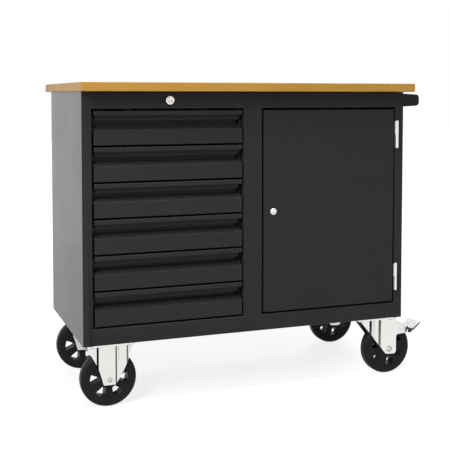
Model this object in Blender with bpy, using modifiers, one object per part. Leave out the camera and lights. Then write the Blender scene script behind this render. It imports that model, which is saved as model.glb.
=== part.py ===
"""Tool cart: a sheet-steel cabinet with six drawers and a door, on four casters."""
from math import cos, pi, radians, sin

import bmesh
import bpy
from mathutils import Matrix, Vector

# Driving dimensions, in metres. The cart stands on Z = 0, and its front faces -Y.

# gaps and cutters
FIT_GAP = 0.0003
CUT_OVERRUN = 0.004

# cabinet
CAB_WIDTH = 1.000
CAB_DEPTH = 0.490
SHEET = 0.0015
STILE_WIDTH = 0.028
MULLION_WIDTH = 0.058
RAIL_HEIGHT = 0.0475
FOLD_DEPTH = 0.025
BACK_FLANGE = 0.020
CHANNEL_WIDTH = 0.150
CHANNEL_WALL = 0.0025
SHELF_RISE = 0.290
SHELF_SETBACK = 0.060
SHELF_LIP = 0.020

# worktop
TOP_THICKNESS = 0.025
TOP_SIDE_OVERHANG = 0.010
TOP_FRONT_OVERHANG = 0.050
TOP_BACK_OVERHANG = 0.050
TOP_EDGE_BEVEL = 0.0012

# drawer fronts: a folded sheet with a grip along its whole width
DRAWER_COUNT = 6
FRONT_HEIGHT = 0.095
REVEAL = 0.005
LIP_HEIGHT = 0.0135
HEM_SETBACK = 0.016
HEM_DROP = 0.0135
HEM_INSET = 0.004
POCKET_DEPTH = 0.038
LEDGE_DROP = 0.0415
LEDGE_DEPTH = 0.021
SLANT_HEIGHT = 0.010
REAR_LIP = 0.012

# drawer trays and their runners
TRAY_HEIGHT = 0.060
TRAY_RISE = 0.006
TRAY_BACK_ROOM = 0.032
RUNNER_ROOM = 0.014
RUNNER_REACH = 0.010
RUNNER_RISE = 0.040
RUNNER_LIP = 0.002
RUNNER_BITE = 0.001
FLANGE_HEIGHT = 0.003
POST_DEPTH = 0.020

# central lock, and the bar that it lifts behind the trays
LOCK_HEAD_RADIUS = 0.0125
LOCK_HEAD_HEIGHT = 0.0035
LOCK_PLUG_RADIUS = 0.0080
LOCK_PLUG_PROUD = 0.0012
LOCK_BODY_RADIUS = 0.0105
LOCK_BODY_LENGTH = 0.022
SHAFT_RADIUS = 0.004
KEY_SLOT_LENGTH = 0.0095
KEY_SLOT_WIDTH = 0.0022
KEY_SLOT_DEPTH = 0.0020
BAR_LIFT = 0.006
BAR_THICKNESS = 0.004
BAR_WIDTH = 0.018
BAR_HEAD_HALF_WIDTH = 0.015
BAR_HEAD_HALF_HEIGHT = 0.012
CRANK_THICKNESS = 0.004
CRANK_PIN_RADIUS = 0.0025
CRANK_PIN_PLAY = 0.0018
CATCH_REACH = 0.012
CATCH_PLAY = 0.001
CATCH_WIDTH = 0.026
HOOK_GAP = 0.001
HOOK_TIP = 0.004
HOOK_ARM = 0.004
GUIDE_HEIGHT = 0.030
GUIDE_FOOT = 0.018

# door and its lock
DOOR_THICKNESS = 0.020
DOOR_LOCK_INSET = 0.030
DOOR_LOCK_HEAD_RADIUS = 0.010
DOOR_LOCK_PLUG_RADIUS = 0.0065
DOOR_LOCK_BODY_RADIUS = 0.0085
CAM_WIDTH = 0.016
CAM_REACH = 0.048
CAM_THICKNESS = 0.0025

# hinges
HINGE_RADIUS = 0.005
HINGE_LENGTH = 0.082
HINGE_END_INSET = 0.036
HINGE_LEAF = 0.002
HINGE_LEAF_DEPTH = 0.019
HINGE_PIN_RADIUS = 0.0025
HINGE_PIN_HEAD = 0.0012

# push handle on the right side
HANDLE_FRONT_INSET = 0.025
HANDLE_REACH = 0.0715
HANDLE_ROOT_HEIGHT = 0.042
HANDLE_END_HEIGHT = 0.036
HANDLE_TOP_GAP = 0.004
HANDLE_CORNER_RADIUS = 0.011
HANDLE_BRACKET_DEPTH = 0.025
HANDLE_BAR_RADIUS = 0.016

# casters
WHEEL_RADIUS = 0.080
WHEEL_WIDTH = 0.035
HUB_WIDTH = 0.045
HUB_RADIUS = 0.021
WHEEL_WEB_SHARE = 0.50
RIM_INNER_SHARE = 0.72
WINDOW_COUNT = 6
WINDOW_INNER_SHARE = 0.34
WINDOW_OUTER_SHARE = 0.67
WINDOW_HALF_ANGLE = radians(17)
WINDOW_NECK_SHARE = 0.6
AXLE_RADIUS = 0.005
AXLE_HEAD_RADIUS = 0.0085
AXLE_HEAD_HEIGHT = 0.005
HUB_PLAY = 0.0010
FORK_SHEET = 0.0035
CHANNEL_RIB = 0.003
CHANNEL_RIB_HALF_WIDTH = 0.017
WHEEL_TOP_CLEARANCE = 0.011
CROWN_THICKNESS = 0.004
RACE_HEIGHT = 0.006
RACE_RADIUS = 0.026
PLATE_THICKNESS = 0.005
PLATE_LENGTH = 0.135
PLATE_WIDTH = 0.105
KINGPIN_RADIUS = 0.006
KINGPIN_NUT_RADIUS = 0.010
KINGPIN_NUT_HEIGHT = 0.005
CASTER_SIDE_INSET = 0.080
CASTER_FRONT_INSET = 0.057
TRAIL = 0.054
CROWN_REACH = 0.058
PEDAL_WIDTH = 0.054
PEDAL_ARM_WIDTH = 0.034
PEDAL_PLAY = 0.0025
PEDAL_HOUSING_GAP = 0.005
PEDAL_PIN_RADIUS = 0.003

# Outlines of the caster's stampings, in wheel radii from the axle: across, up.
FIXED_LEG_SHARES = (
    (0.86, 1.21), (0.685, 0.75), (0.66, 0.61), (0.43, 0.15), (0.265, -0.11), (0.22, -0.18),
    (-0.22, -0.18), (-0.24, -0.11), (-0.36, 0.30), (-0.46, 0.55), (-0.65, 0.90), (-0.76, 0.96), (-0.78, 1.21),
)
SWIVEL_FOOT_SHARES = (
    (-0.22, -0.10), (-0.15, -0.18), (0.20, -0.20), (0.28, -0.16), (0.30, -0.08), (0.30, 0.56),
)
HOUSING_END_SHARE = 0.975
HOUSING_LOW_SHARE = 0.56
HOUSING_TOP_SHARES = ((1.03, 0.79), (0.62, 0.915), (0.29, 1.145))
NOTCH_SHARE = 0.625
PEDAL_PIVOT_SHARES = (0.725, 0.806)
PEDAL_ARM_SHARES = (
    (0.6625, 0.806), (0.69, 0.86), (0.76, 0.8625), (1.056, 0.70), (1.056, 0.60),
    (1.01, 0.685), (0.90, 0.679), (0.825, 0.656), (0.80, 0.6625), (0.70, 0.75),
)
PEDAL_BODY_SHARES = ((0.82, 0.57), (1.00, 0.56), (1.075, 0.66), (1.0625, 0.695), (0.82, 0.76))
PEDAL_PAD_SHARES = ((1.05, 0.695), (1.375, 0.90), (1.40, 0.862), (1.08, 0.655))
SWIVEL_RIB_SHARES = (-0.34, 0.29)

# round shapes
WHEEL_STEPS = 36
ROUND_STEPS = 24

# Places that follow from the sizes.
AXLE_HEIGHT = WHEEL_RADIUS
CROWN_LOW = 2 * WHEEL_RADIUS + WHEEL_TOP_CLEARANCE
CROWN_TOP = CROWN_LOW + CROWN_THICKNESS
PLATE_LOW = CROWN_TOP + FIT_GAP + RACE_HEIGHT
PLATE_TOP = PLATE_LOW + PLATE_THICKNESS
OPENING_HEIGHT = DRAWER_COUNT * (FRONT_HEIGHT + REVEAL) + REVEAL
BAY_WIDTH = (CAB_WIDTH - MULLION_WIDTH) / 2 - STILE_WIDTH

PEDAL_REACH = max(across for across, up in PEDAL_PAD_SHARES) * WHEEL_RADIUS
REACH_RIGHT = CAB_WIDTH - CASTER_SIDE_INSET + TRAIL + PEDAL_REACH
LEFT = (TOP_SIDE_OVERHANG - REACH_RIGHT) / 2
RIGHT = LEFT + CAB_WIDTH
MIDDLE = (LEFT + RIGHT) / 2
FRONT = (TOP_FRONT_OVERHANG - TOP_BACK_OVERHANG - CAB_DEPTH) / 2
BACK = FRONT + CAB_DEPTH
BASE = PLATE_TOP + FIT_GAP
OPENING_LOW = BASE + RAIL_HEIGHT
OPENING_HIGH = OPENING_LOW + OPENING_HEIGHT
CAB_TOP = OPENING_HIGH + RAIL_HEIGHT

INNER_LEFT = LEFT + SHEET + FIT_GAP
INNER_RIGHT = RIGHT - SHEET - FIT_GAP
INNER_FRONT = FRONT + FOLD_DEPTH + FIT_GAP
BACK_PANEL_FACE = BACK - 2 * SHEET - FIT_GAP
INNER_BACK = BACK_PANEL_FACE - FIT_GAP

DRAWERS_LEFT = LEFT + STILE_WIDTH
DRAWERS_RIGHT = DRAWERS_LEFT + BAY_WIDTH
DRAWERS_MIDDLE = (DRAWERS_LEFT + DRAWERS_RIGHT) / 2
DOOR_LEFT = DRAWERS_RIGHT + MULLION_WIDTH + REVEAL
DOOR_RIGHT = RIGHT - STILE_WIDTH - REVEAL
DOOR_LOW = OPENING_LOW + REVEAL
DOOR_HIGH = OPENING_HIGH - REVEAL

TRAY_FRONT = FRONT + POCKET_DEPTH + FIT_GAP
TRAY_BACK = INNER_BACK - TRAY_BACK_ROOM
TRAY_LEFT = DRAWERS_LEFT + RUNNER_ROOM
TRAY_RIGHT = DRAWERS_RIGHT - RUNNER_ROOM

LOCK_HEIGHT = CAB_TOP - RAIL_HEIGHT / 2
BAR_FACE = TRAY_BACK + CATCH_REACH + SHEET + HOOK_GAP
CATCH_DROP = BAR_LIFT + SHEET + CATCH_PLAY - HOOK_GAP
HINGE_X = DOOR_RIGHT + REVEAL + HINGE_RADIUS / 2
HINGE_Y = FRONT - HINGE_RADIUS - FIT_GAP

FORK_HALF_INNER = HUB_WIDTH / 2 + HUB_PLAY
FORK_HALF_OUTER = FORK_HALF_INNER + FORK_SHEET
FRONT_WHEEL_Y = FRONT + CASTER_FRONT_INSET
BACK_WHEEL_Y = BACK - CASTER_FRONT_INSET
FIXED_X = LEFT + CASTER_SIDE_INSET
KINGPIN_X = RIGHT - CASTER_SIDE_INSET
SWIVEL_AXLE_X = KINGPIN_X + TRAIL


for leftover in list(bpy.data.objects):
    bpy.data.objects.remove(leftover, do_unlink=True)

parts = bpy.data.collections.new("tool_cart")
cutters = bpy.data.collections.new("cutters")
bpy.context.scene.collection.children.link(parts)
bpy.context.scene.collection.children.link(cutters)


def make_material(name, colour, roughness, metallic):
    material = bpy.data.materials.new(name)
    material.use_nodes = True
    shader = material.node_tree.nodes["Principled BSDF"]
    shader.inputs["Base Color"].default_value = (*colour, 1)
    shader.inputs["Roughness"].default_value = roughness
    shader.inputs["Metallic"].default_value = metallic
    return material


finishes = {
    "black_paint": ((0.022, 0.022, 0.023), 0.42, 0.0),
    "worktop_wood": ((0.50, 0.27, 0.055), 0.45, 0.0),
    "bright_zinc": ((0.78, 0.78, 0.76), 0.30, 1.0),
    "nickel": ((0.72, 0.71, 0.69), 0.22, 1.0),
    "black_rubber": ((0.016, 0.016, 0.017), 0.60, 0.0),
    "black_plastic": ((0.014, 0.014, 0.015), 0.45, 0.0),
}


# meshes

def mesh_from(bm):
    bmesh.ops.recalc_face_normals(bm, faces=bm.faces)
    mesh = bpy.data.meshes.new("shape")
    bm.to_mesh(mesh)
    bm.free()
    return mesh


def box(low, high):
    """A box between two corners."""
    bm = bmesh.new()
    bmesh.ops.create_cube(bm, size=1)
    size = Vector(high) - Vector(low)
    bmesh.ops.scale(bm, vec=size, verts=bm.verts)
    bmesh.ops.translate(bm, vec=(Vector(high) + Vector(low)) / 2, verts=bm.verts)
    return mesh_from(bm)


def rod(start, end, radius, steps=ROUND_STEPS, end_radius=None, turn=0):
    """A round bar, or one of few sides, between two points."""
    axis = Vector(end) - Vector(start)
    bm = bmesh.new()
    bmesh.ops.create_cone(
        bm, cap_ends=True, segments=steps, radius1=radius,
        radius2=radius if end_radius is None else end_radius, depth=axis.length)
    frame = axis.to_track_quat("Z", "Y").to_matrix().to_4x4() @ Matrix.Rotation(turn, 4, "Z")
    bmesh.ops.transform(bm, matrix=frame, verts=bm.verts)
    bmesh.ops.translate(bm, vec=(Vector(start) + Vector(end)) / 2, verts=bm.verts)
    return mesh_from(bm)


PLANES = {
    "XY": Matrix(((1, 0, 0, 0), (0, 1, 0, 0), (0, 0, 1, 0), (0, 0, 0, 1))),
    "XZ": Matrix(((1, 0, 0, 0), (0, 0, -1, 0), (0, 1, 0, 0), (0, 0, 0, 1))),
    "YZ": Matrix(((0, 0, 1, 0), (1, 0, 0, 0), (0, 1, 0, 0), (0, 0, 0, 1))),
}


def slab(points, plane, start, end):
    """A flat outline in a plane, thickened from start to end along the third axis."""
    curve = bpy.data.curves.new("outline", "CURVE")
    curve.dimensions = "2D"
    curve.fill_mode = "BOTH"
    curve.extrude = (end - start) / 2
    spline = curve.splines.new("POLY")
    spline.points.add(len(points) - 1)
    for point, place in zip(spline.points, points):
        point.co = (place[0], place[1], 0, 1)
    spline.use_cyclic_u = True
    holder = bpy.data.objects.new("outline", curve)
    cutters.objects.link(holder)
    mesh = bpy.data.meshes.new_from_object(holder.evaluated_get(bpy.context.evaluated_depsgraph_get()))
    bpy.data.objects.remove(holder, do_unlink=True)
    bpy.data.curves.remove(curve)
    bm = bmesh.new()
    bm.from_mesh(mesh)
    bpy.data.meshes.remove(mesh)
    bmesh.ops.remove_doubles(bm, verts=bm.verts, dist=FIT_GAP / 10)
    middle = (start + end) / 2
    offset = middle if plane != "XZ" else -middle
    bmesh.ops.translate(bm, vec=(0, 0, offset), verts=bm.verts)
    bmesh.ops.transform(bm, matrix=PLANES[plane], verts=bm.verts)
    return mesh_from(bm)


def sheet_outline(path, thickness):
    """The closed outline of a sheet folded along a centreline."""
    sides = ([], [])
    for index, place in enumerate(path):
        here = Vector(place)
        before = (here - Vector(path[index - 1])).normalized() if index else None
        after = (Vector(path[index + 1]) - here).normalized() if index < len(path) - 1 else None
        along = [way for way in (before, after) if way is not None]
        normals = [Vector((-way.y, way.x)) for way in along]
        mitre = sum(normals, Vector((0, 0)))
        mitre = mitre / mitre.dot(normals[0])
        sides[0].append(here + mitre * thickness / 2)
        sides[1].append(here - mitre * thickness / 2)
    return sides[0] + sides[1][::-1]


def turned(profile, place, axis="Y", steps=ROUND_STEPS):
    """A closed profile of (radius, along) points, turned about an axis through place."""
    bm = bmesh.new()
    ring = [bm.verts.new((radius, 0, along)) for radius, along in profile]
    for index, vertex in enumerate(ring):
        bm.edges.new((vertex, ring[(index + 1) % len(ring)]))
    mesh = bpy.data.meshes.new("profile")
    bm.to_mesh(mesh)
    bm.free()
    holder = bpy.data.objects.new("profile", mesh)
    cutters.objects.link(holder)
    screw = holder.modifiers.new("turn", "SCREW")
    screw.steps = steps
    screw.render_steps = steps
    screw.use_merge_vertices = True
    screw.merge_threshold = FIT_GAP / 10
    solid = bpy.data.meshes.new_from_object(holder.evaluated_get(bpy.context.evaluated_depsgraph_get()))
    bpy.data.objects.remove(holder, do_unlink=True)
    bpy.data.meshes.remove(mesh)
    bm = bmesh.new()
    bm.from_mesh(solid)
    bpy.data.meshes.remove(solid)
    bmesh.ops.remove_doubles(bm, verts=bm.verts, dist=FIT_GAP / 10)
    if axis == "Y":
        bmesh.ops.rotate(bm, cent=(0, 0, 0), matrix=Matrix.Rotation(-pi / 2, 3, "X"), verts=bm.verts)
    bmesh.ops.translate(bm, vec=place, verts=bm.verts)
    return mesh_from(bm)


def combined(first, operation, *others):
    """One mesh joined with, cut by, or limited to the others."""
    target = bpy.data.objects.new("target", first)
    cutters.objects.link(target)
    tools = []
    for other in others:
        tool = bpy.data.objects.new("tool", other)
        cutters.objects.link(tool)
        tools.append(tool)
        step = target.modifiers.new("step", "BOOLEAN")
        step.operation = operation
        step.solver = "EXACT"
        step.object = tool
    result = bpy.data.meshes.new_from_object(target.evaluated_get(bpy.context.evaluated_depsgraph_get()))
    for used in [target] + tools:
        bpy.data.objects.remove(used, do_unlink=True)
    return result


def union(first, *others):
    return combined(first, "UNION", *others)


def cut(first, *others):
    return combined(first, "DIFFERENCE", *others)


def common(first, *others):
    return combined(first, "INTERSECT", *others)


def mirrored(mesh, x):
    """A copy of a mesh, mirrored in the plane at x."""
    bm = bmesh.new()
    bm.from_mesh(mesh)
    bmesh.ops.scale(bm, vec=(-1, 1, 1), verts=bm.verts)
    bmesh.ops.translate(bm, vec=(2 * x, 0, 0), verts=bm.verts)
    return mesh_from(bm)


# objects

def piece(name, mesh, finish, origin=(0, 0, 0)):
    """An object from a mesh in the cart's frame, with its origin at a point."""
    mesh.name = name
    mesh.transform(Matrix.Translation(-Vector(origin)))
    mesh.shade_smooth()
    mesh.set_sharp_from_angle(angle=radians(30))
    mesh.materials.clear()
    mesh.materials.append(make_material(name, *finishes[finish]))
    item = bpy.data.objects.new(name, mesh)
    item.location = origin
    parts.objects.link(item)
    return item


def copied(item, name, move):
    """Another object with the same mesh, moved."""
    twin = bpy.data.objects.new(name, item.data)
    twin.location = item.location + Vector(move)
    parts.objects.link(twin)
    return twin


# carcass

def make_side_panels():
    path = [
        (LEFT + BACK_FLANGE, BACK - SHEET / 2),
        (LEFT + SHEET / 2, BACK - SHEET / 2),
        (LEFT + SHEET / 2, FRONT + SHEET / 2),
        (LEFT + STILE_WIDTH - SHEET / 2, FRONT + SHEET / 2),
        (LEFT + STILE_WIDTH - SHEET / 2, FRONT + FOLD_DEPTH),
    ]
    left = slab(sheet_outline(path, SHEET), "XY", BASE, CAB_TOP)
    right = mirrored(left, MIDDLE)
    piece("side_panel_left", left, "black_paint")
    piece("side_panel_right", right, "black_paint")


def rail_mesh(low, high):
    """A front rail with a fold at its top and bottom."""
    path = [
        (FRONT + FOLD_DEPTH, high - SHEET / 2),
        (FRONT + SHEET / 2, high - SHEET / 2),
        (FRONT + SHEET / 2, low + SHEET / 2),
        (FRONT + FOLD_DEPTH, low + SHEET / 2),
    ]
    start = LEFT + STILE_WIDTH + FIT_GAP
    end = RIGHT - STILE_WIDTH - FIT_GAP
    return slab(sheet_outline(path, SHEET), "YZ", start, end)


def make_rails():
    hole = rod(
        (DRAWERS_MIDDLE, FRONT - CUT_OVERRUN, LOCK_HEIGHT),
        (DRAWERS_MIDDLE, FRONT + FOLD_DEPTH / 2, LOCK_HEIGHT),
        LOCK_BODY_RADIUS + FIT_GAP)
    piece("top_rail", cut(rail_mesh(OPENING_HIGH, CAB_TOP), hole), "black_paint")
    piece("bottom_rail", rail_mesh(BASE, OPENING_LOW), "black_paint")


def make_inner_panels():
    top = box((INNER_LEFT, INNER_FRONT, CAB_TOP - SHEET), (INNER_RIGHT, INNER_BACK, CAB_TOP))
    piece("top_panel", top, "black_paint")
    floor = box((INNER_LEFT, INNER_FRONT, OPENING_LOW - SHEET), (INNER_RIGHT, INNER_BACK, OPENING_LOW))
    piece("floor_panel", floor, "black_paint")
    back = box((INNER_LEFT, BACK_PANEL_FACE, BASE), (INNER_RIGHT, BACK - SHEET - FIT_GAP, CAB_TOP))
    piece("back_panel", back, "black_paint")


def make_divider():
    half = MULLION_WIDTH / 2
    web = SHEET / 2
    right_half = [
        (MIDDLE + half, FRONT),
        (MIDDLE + half, FRONT + FOLD_DEPTH),
        (MIDDLE + half - SHEET, FRONT + FOLD_DEPTH),
        (MIDDLE + half - SHEET, FRONT + SHEET),
        (MIDDLE + web, FRONT + SHEET),
        (MIDDLE + web, INNER_BACK),
    ]
    left_half = [(2 * MIDDLE - x, y) for x, y in reversed(right_half)]
    outline = right_half + left_half
    piece("divider", slab(outline, "XY", OPENING_LOW + FIT_GAP, OPENING_HIGH - FIT_GAP), "black_paint")


def make_shelf():
    height = OPENING_LOW + SHELF_RISE
    near = FRONT + SHELF_SETBACK
    far = INNER_BACK - SHEET / 2
    path = [
        (near, height - SHELF_LIP),
        (near, height),
        (far, height),
        (far, height - SHELF_LIP),
    ]
    start = MIDDLE + SHEET / 2 + FIT_GAP
    piece("cupboard_shelf", slab(sheet_outline(path, SHEET), "YZ", start, INNER_RIGHT), "black_paint")


def make_base_channels():
    top = OPENING_LOW - SHEET - FIT_GAP
    near = INNER_LEFT + CHANNEL_WALL / 2
    far = LEFT + CHANNEL_WIDTH
    path = [(near, top), (near, BASE + CHANNEL_WALL / 2), (far, BASE + CHANNEL_WALL / 2), (far, top)]
    left = slab(sheet_outline(path, CHANNEL_WALL), "XZ", INNER_FRONT, INNER_BACK)
    right = mirrored(left, MIDDLE)
    piece("base_channel_left", left, "black_paint")
    piece("base_channel_right", right, "black_paint")


def make_worktop():
    board = box(
        (LEFT - TOP_SIDE_OVERHANG, FRONT - TOP_FRONT_OVERHANG, CAB_TOP + FIT_GAP),
        (RIGHT + TOP_SIDE_OVERHANG, BACK + TOP_BACK_OVERHANG, CAB_TOP + FIT_GAP + TOP_THICKNESS))
    item = piece("worktop", board, "worktop_wood")
    edge = item.modifiers.new("edge", "BEVEL")
    edge.width = TOP_EDGE_BEVEL
    edge.segments = 2


# drawers

def front_low(index):
    """The bottom of a drawer front, counted from the top drawer."""
    return OPENING_HIGH - (index + 1) * (FRONT_HEIGHT + REVEAL)


def runner_low(index):
    """The face that a drawer's flange slides on."""
    return front_low(index) + RUNNER_RISE


def front_mesh(low):
    """A drawer front: lip, hanging hem, finger pocket, slanted ledge and main face, in one folded sheet."""
    high = low + FRONT_HEIGHT
    skin = SHEET / 2
    path = [
        (FRONT + HEM_SETBACK + skin, high - LIP_HEIGHT - HEM_DROP),
        (FRONT + HEM_SETBACK + skin, high - LIP_HEIGHT + skin),
        (FRONT + skin, high - LIP_HEIGHT + skin),
        (FRONT + skin, high - skin),
        (FRONT + POCKET_DEPTH - skin, high - skin),
        (FRONT + POCKET_DEPTH - skin, high - LEDGE_DROP - skin),
        (FRONT + LEDGE_DEPTH, high - LEDGE_DROP - skin),
        (FRONT + skin, high - LEDGE_DROP - SLANT_HEIGHT - skin),
        (FRONT + skin, low + skin),
        (FRONT + POCKET_DEPTH - skin, low + skin),
        (FRONT + POCKET_DEPTH - skin, low + REAR_LIP),
    ]
    left = DRAWERS_LEFT + REVEAL
    right = DRAWERS_RIGHT - REVEAL
    strip = slab(sheet_outline(path, SHEET), "YZ", left, right)
    notch_low = high - LIP_HEIGHT - HEM_DROP - CUT_OVERRUN
    notch_high = high - LIP_HEIGHT
    near = FRONT + HEM_SETBACK - CUT_OVERRUN
    far = FRONT + HEM_SETBACK + SHEET + CUT_OVERRUN
    left_notch = box((left - CUT_OVERRUN, near, notch_low), (left + HEM_INSET, far, notch_high))
    right_notch = box((right - HEM_INSET, near, notch_low), (right + CUT_OVERRUN, far, notch_high))
    return cut(strip, left_notch, right_notch)


def tray_mesh(low):
    """A drawer tray: an open box with a sliding flange on each side and a catch at its back."""
    bottom = low + TRAY_RISE
    top = bottom + TRAY_HEIGHT
    outer = box((TRAY_LEFT, TRAY_FRONT, bottom), (TRAY_RIGHT, TRAY_BACK, top))
    inner = box(
        (TRAY_LEFT + SHEET, TRAY_FRONT + SHEET, bottom + SHEET),
        (TRAY_RIGHT - SHEET, TRAY_BACK - SHEET, top + CUT_OVERRUN))
    flange_low = low + RUNNER_RISE + FIT_GAP
    flange_high = flange_low + FLANGE_HEIGHT
    left_flange = box(
        (DRAWERS_LEFT + RUNNER_BITE, TRAY_FRONT, flange_low), (TRAY_LEFT + SHEET / 2, TRAY_BACK, flange_high))
    right_flange = box(
        (TRAY_RIGHT - SHEET / 2, TRAY_FRONT, flange_low),
        (DRAWERS_RIGHT - RUNNER_BITE, TRAY_BACK, flange_high))
    catch_path = [
        (TRAY_BACK - SHEET / 2, top - SHEET / 2),
        (TRAY_BACK + CATCH_REACH - SHEET / 2, top - SHEET / 2),
        (TRAY_BACK + CATCH_REACH - SHEET / 2, top - CATCH_DROP),
    ]
    catch = slab(
        sheet_outline(catch_path, SHEET), "YZ",
        DRAWERS_MIDDLE - CATCH_WIDTH / 2, DRAWERS_MIDDLE + CATCH_WIDTH / 2)
    return union(cut(outer, inner), left_flange, right_flange, catch)


def make_drawers():
    low = front_low(0)
    origin = (DRAWERS_MIDDLE, FRONT, low)
    front = piece("drawer_front_1", front_mesh(low), "black_paint", origin)
    tray = piece("drawer_tray_1", tray_mesh(low), "black_paint", origin)
    for index in range(1, DRAWER_COUNT):
        move = (0, 0, front_low(index) - low)
        copied(front, f"drawer_front_{index + 1}", move)
        copied(tray, f"drawer_tray_{index + 1}", move)


def runner_frame(wall, bay, way):
    """Two posts and a C rail for each drawer. The rails open towards the bay, which lies along way."""
    low = OPENING_LOW + FIT_GAP
    high = OPENING_HIGH - FIT_GAP
    near = TRAY_FRONT + RUNNER_LIP
    far = TRAY_BACK
    edge = bay - way * RUNNER_BITE
    left, right = sorted((wall, edge))
    front_post = box((left, near, low), (right, near + POST_DEPTH, high))
    back_post = box((left, far - POST_DEPTH, low), (right, far, high))
    rails = []
    for index in range(DRAWER_COUNT):
        groove_low = runner_low(index)
        groove_high = groove_low + FLANGE_HEIGHT + 2 * FIT_GAP
        outer = bay - way * RUNNER_LIP
        inner = bay + way * RUNNER_REACH
        outline = [
            (outer, groove_low - RUNNER_LIP), (inner, groove_low - RUNNER_LIP),
            (inner, groove_low), (bay, groove_low),
            (bay, groove_high), (inner, groove_high),
            (inner, groove_high + RUNNER_LIP), (outer, groove_high + RUNNER_LIP),
        ]
        rails.append(slab(outline, "XZ", near + FIT_GAP, far - FIT_GAP))
    return union(front_post, back_post, *rails)


def make_runner_frames():
    left = runner_frame(INNER_LEFT, DRAWERS_LEFT, 1)
    piece("runner_frame_left", left, "bright_zinc")
    divider_face = MIDDLE - SHEET / 2 - FIT_GAP
    right = runner_frame(divider_face, DRAWERS_RIGHT, -1)
    piece("runner_frame_right", right, "bright_zinc")


# central lock

def lock_housing_mesh(x, front, z, head_radius, body_radius, plug_radius):
    """The fixed ring of a lock, seen on the face, and its barrel behind the sheet."""
    bore = plug_radius + FIT_GAP
    head = front - LOCK_HEAD_HEIGHT
    profile = [
        (bore, 0),
        (head_radius - LOCK_HEAD_HEIGHT / 2, 0),
        (head_radius, LOCK_HEAD_HEIGHT / 2),
        (head_radius, LOCK_HEAD_HEIGHT - FIT_GAP),
        (body_radius, LOCK_HEAD_HEIGHT - FIT_GAP),
        (body_radius, LOCK_BODY_LENGTH),
        (bore, LOCK_BODY_LENGTH),
    ]
    return turned(profile, (x, head, z))


def plug_mesh(x, front, z, plug_radius, length, slot_along):
    """The turning plug of a lock with its key slot, and a shaft behind it."""
    face = front - LOCK_HEAD_HEIGHT - LOCK_PLUG_PROUD
    plug_end = face + LOCK_PLUG_PROUD + LOCK_BODY_LENGTH
    plug = rod((x, face, z), (x, plug_end, z), plug_radius)
    shaft = rod((x, plug_end - SHEET, z), (x, front + length, z), SHAFT_RADIUS)
    half_x = KEY_SLOT_LENGTH / 2 if slot_along == "X" else KEY_SLOT_WIDTH / 2
    half_z = KEY_SLOT_WIDTH / 2 if slot_along == "X" else KEY_SLOT_LENGTH / 2
    slot = box((x - half_x, face - CUT_OVERRUN, z - half_z), (x + half_x, face + KEY_SLOT_DEPTH, z + half_z))
    return cut(union(plug, shaft), slot)


def make_drawer_lock():
    x = DRAWERS_MIDDLE
    housing = lock_housing_mesh(x, FRONT, LOCK_HEIGHT, LOCK_HEAD_RADIUS, LOCK_BODY_RADIUS, LOCK_PLUG_RADIUS)
    piece("drawer_lock_housing", housing, "nickel")
    crank_back = BAR_FACE - FIT_GAP
    crank_front = crank_back - CRANK_THICKNESS
    plug = plug_mesh(x, FRONT, LOCK_HEIGHT, LOCK_PLUG_RADIUS, crank_back - FRONT, "X")
    hub_radius = BAR_LIFT + CRANK_PIN_RADIUS + SHEET
    hub = rod((x, crank_front, LOCK_HEIGHT), (x, crank_back, LOCK_HEIGHT), hub_radius)
    pin = rod(
        (x - BAR_LIFT, crank_front + SHEET, LOCK_HEIGHT),
        (x - BAR_LIFT, BAR_FACE + BAR_THICKNESS, LOCK_HEIGHT),
        CRANK_PIN_RADIUS, steps=12)
    piece("drawer_lock_plug", union(plug, hub, pin), "nickel", (x, FRONT, LOCK_HEIGHT))


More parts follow.
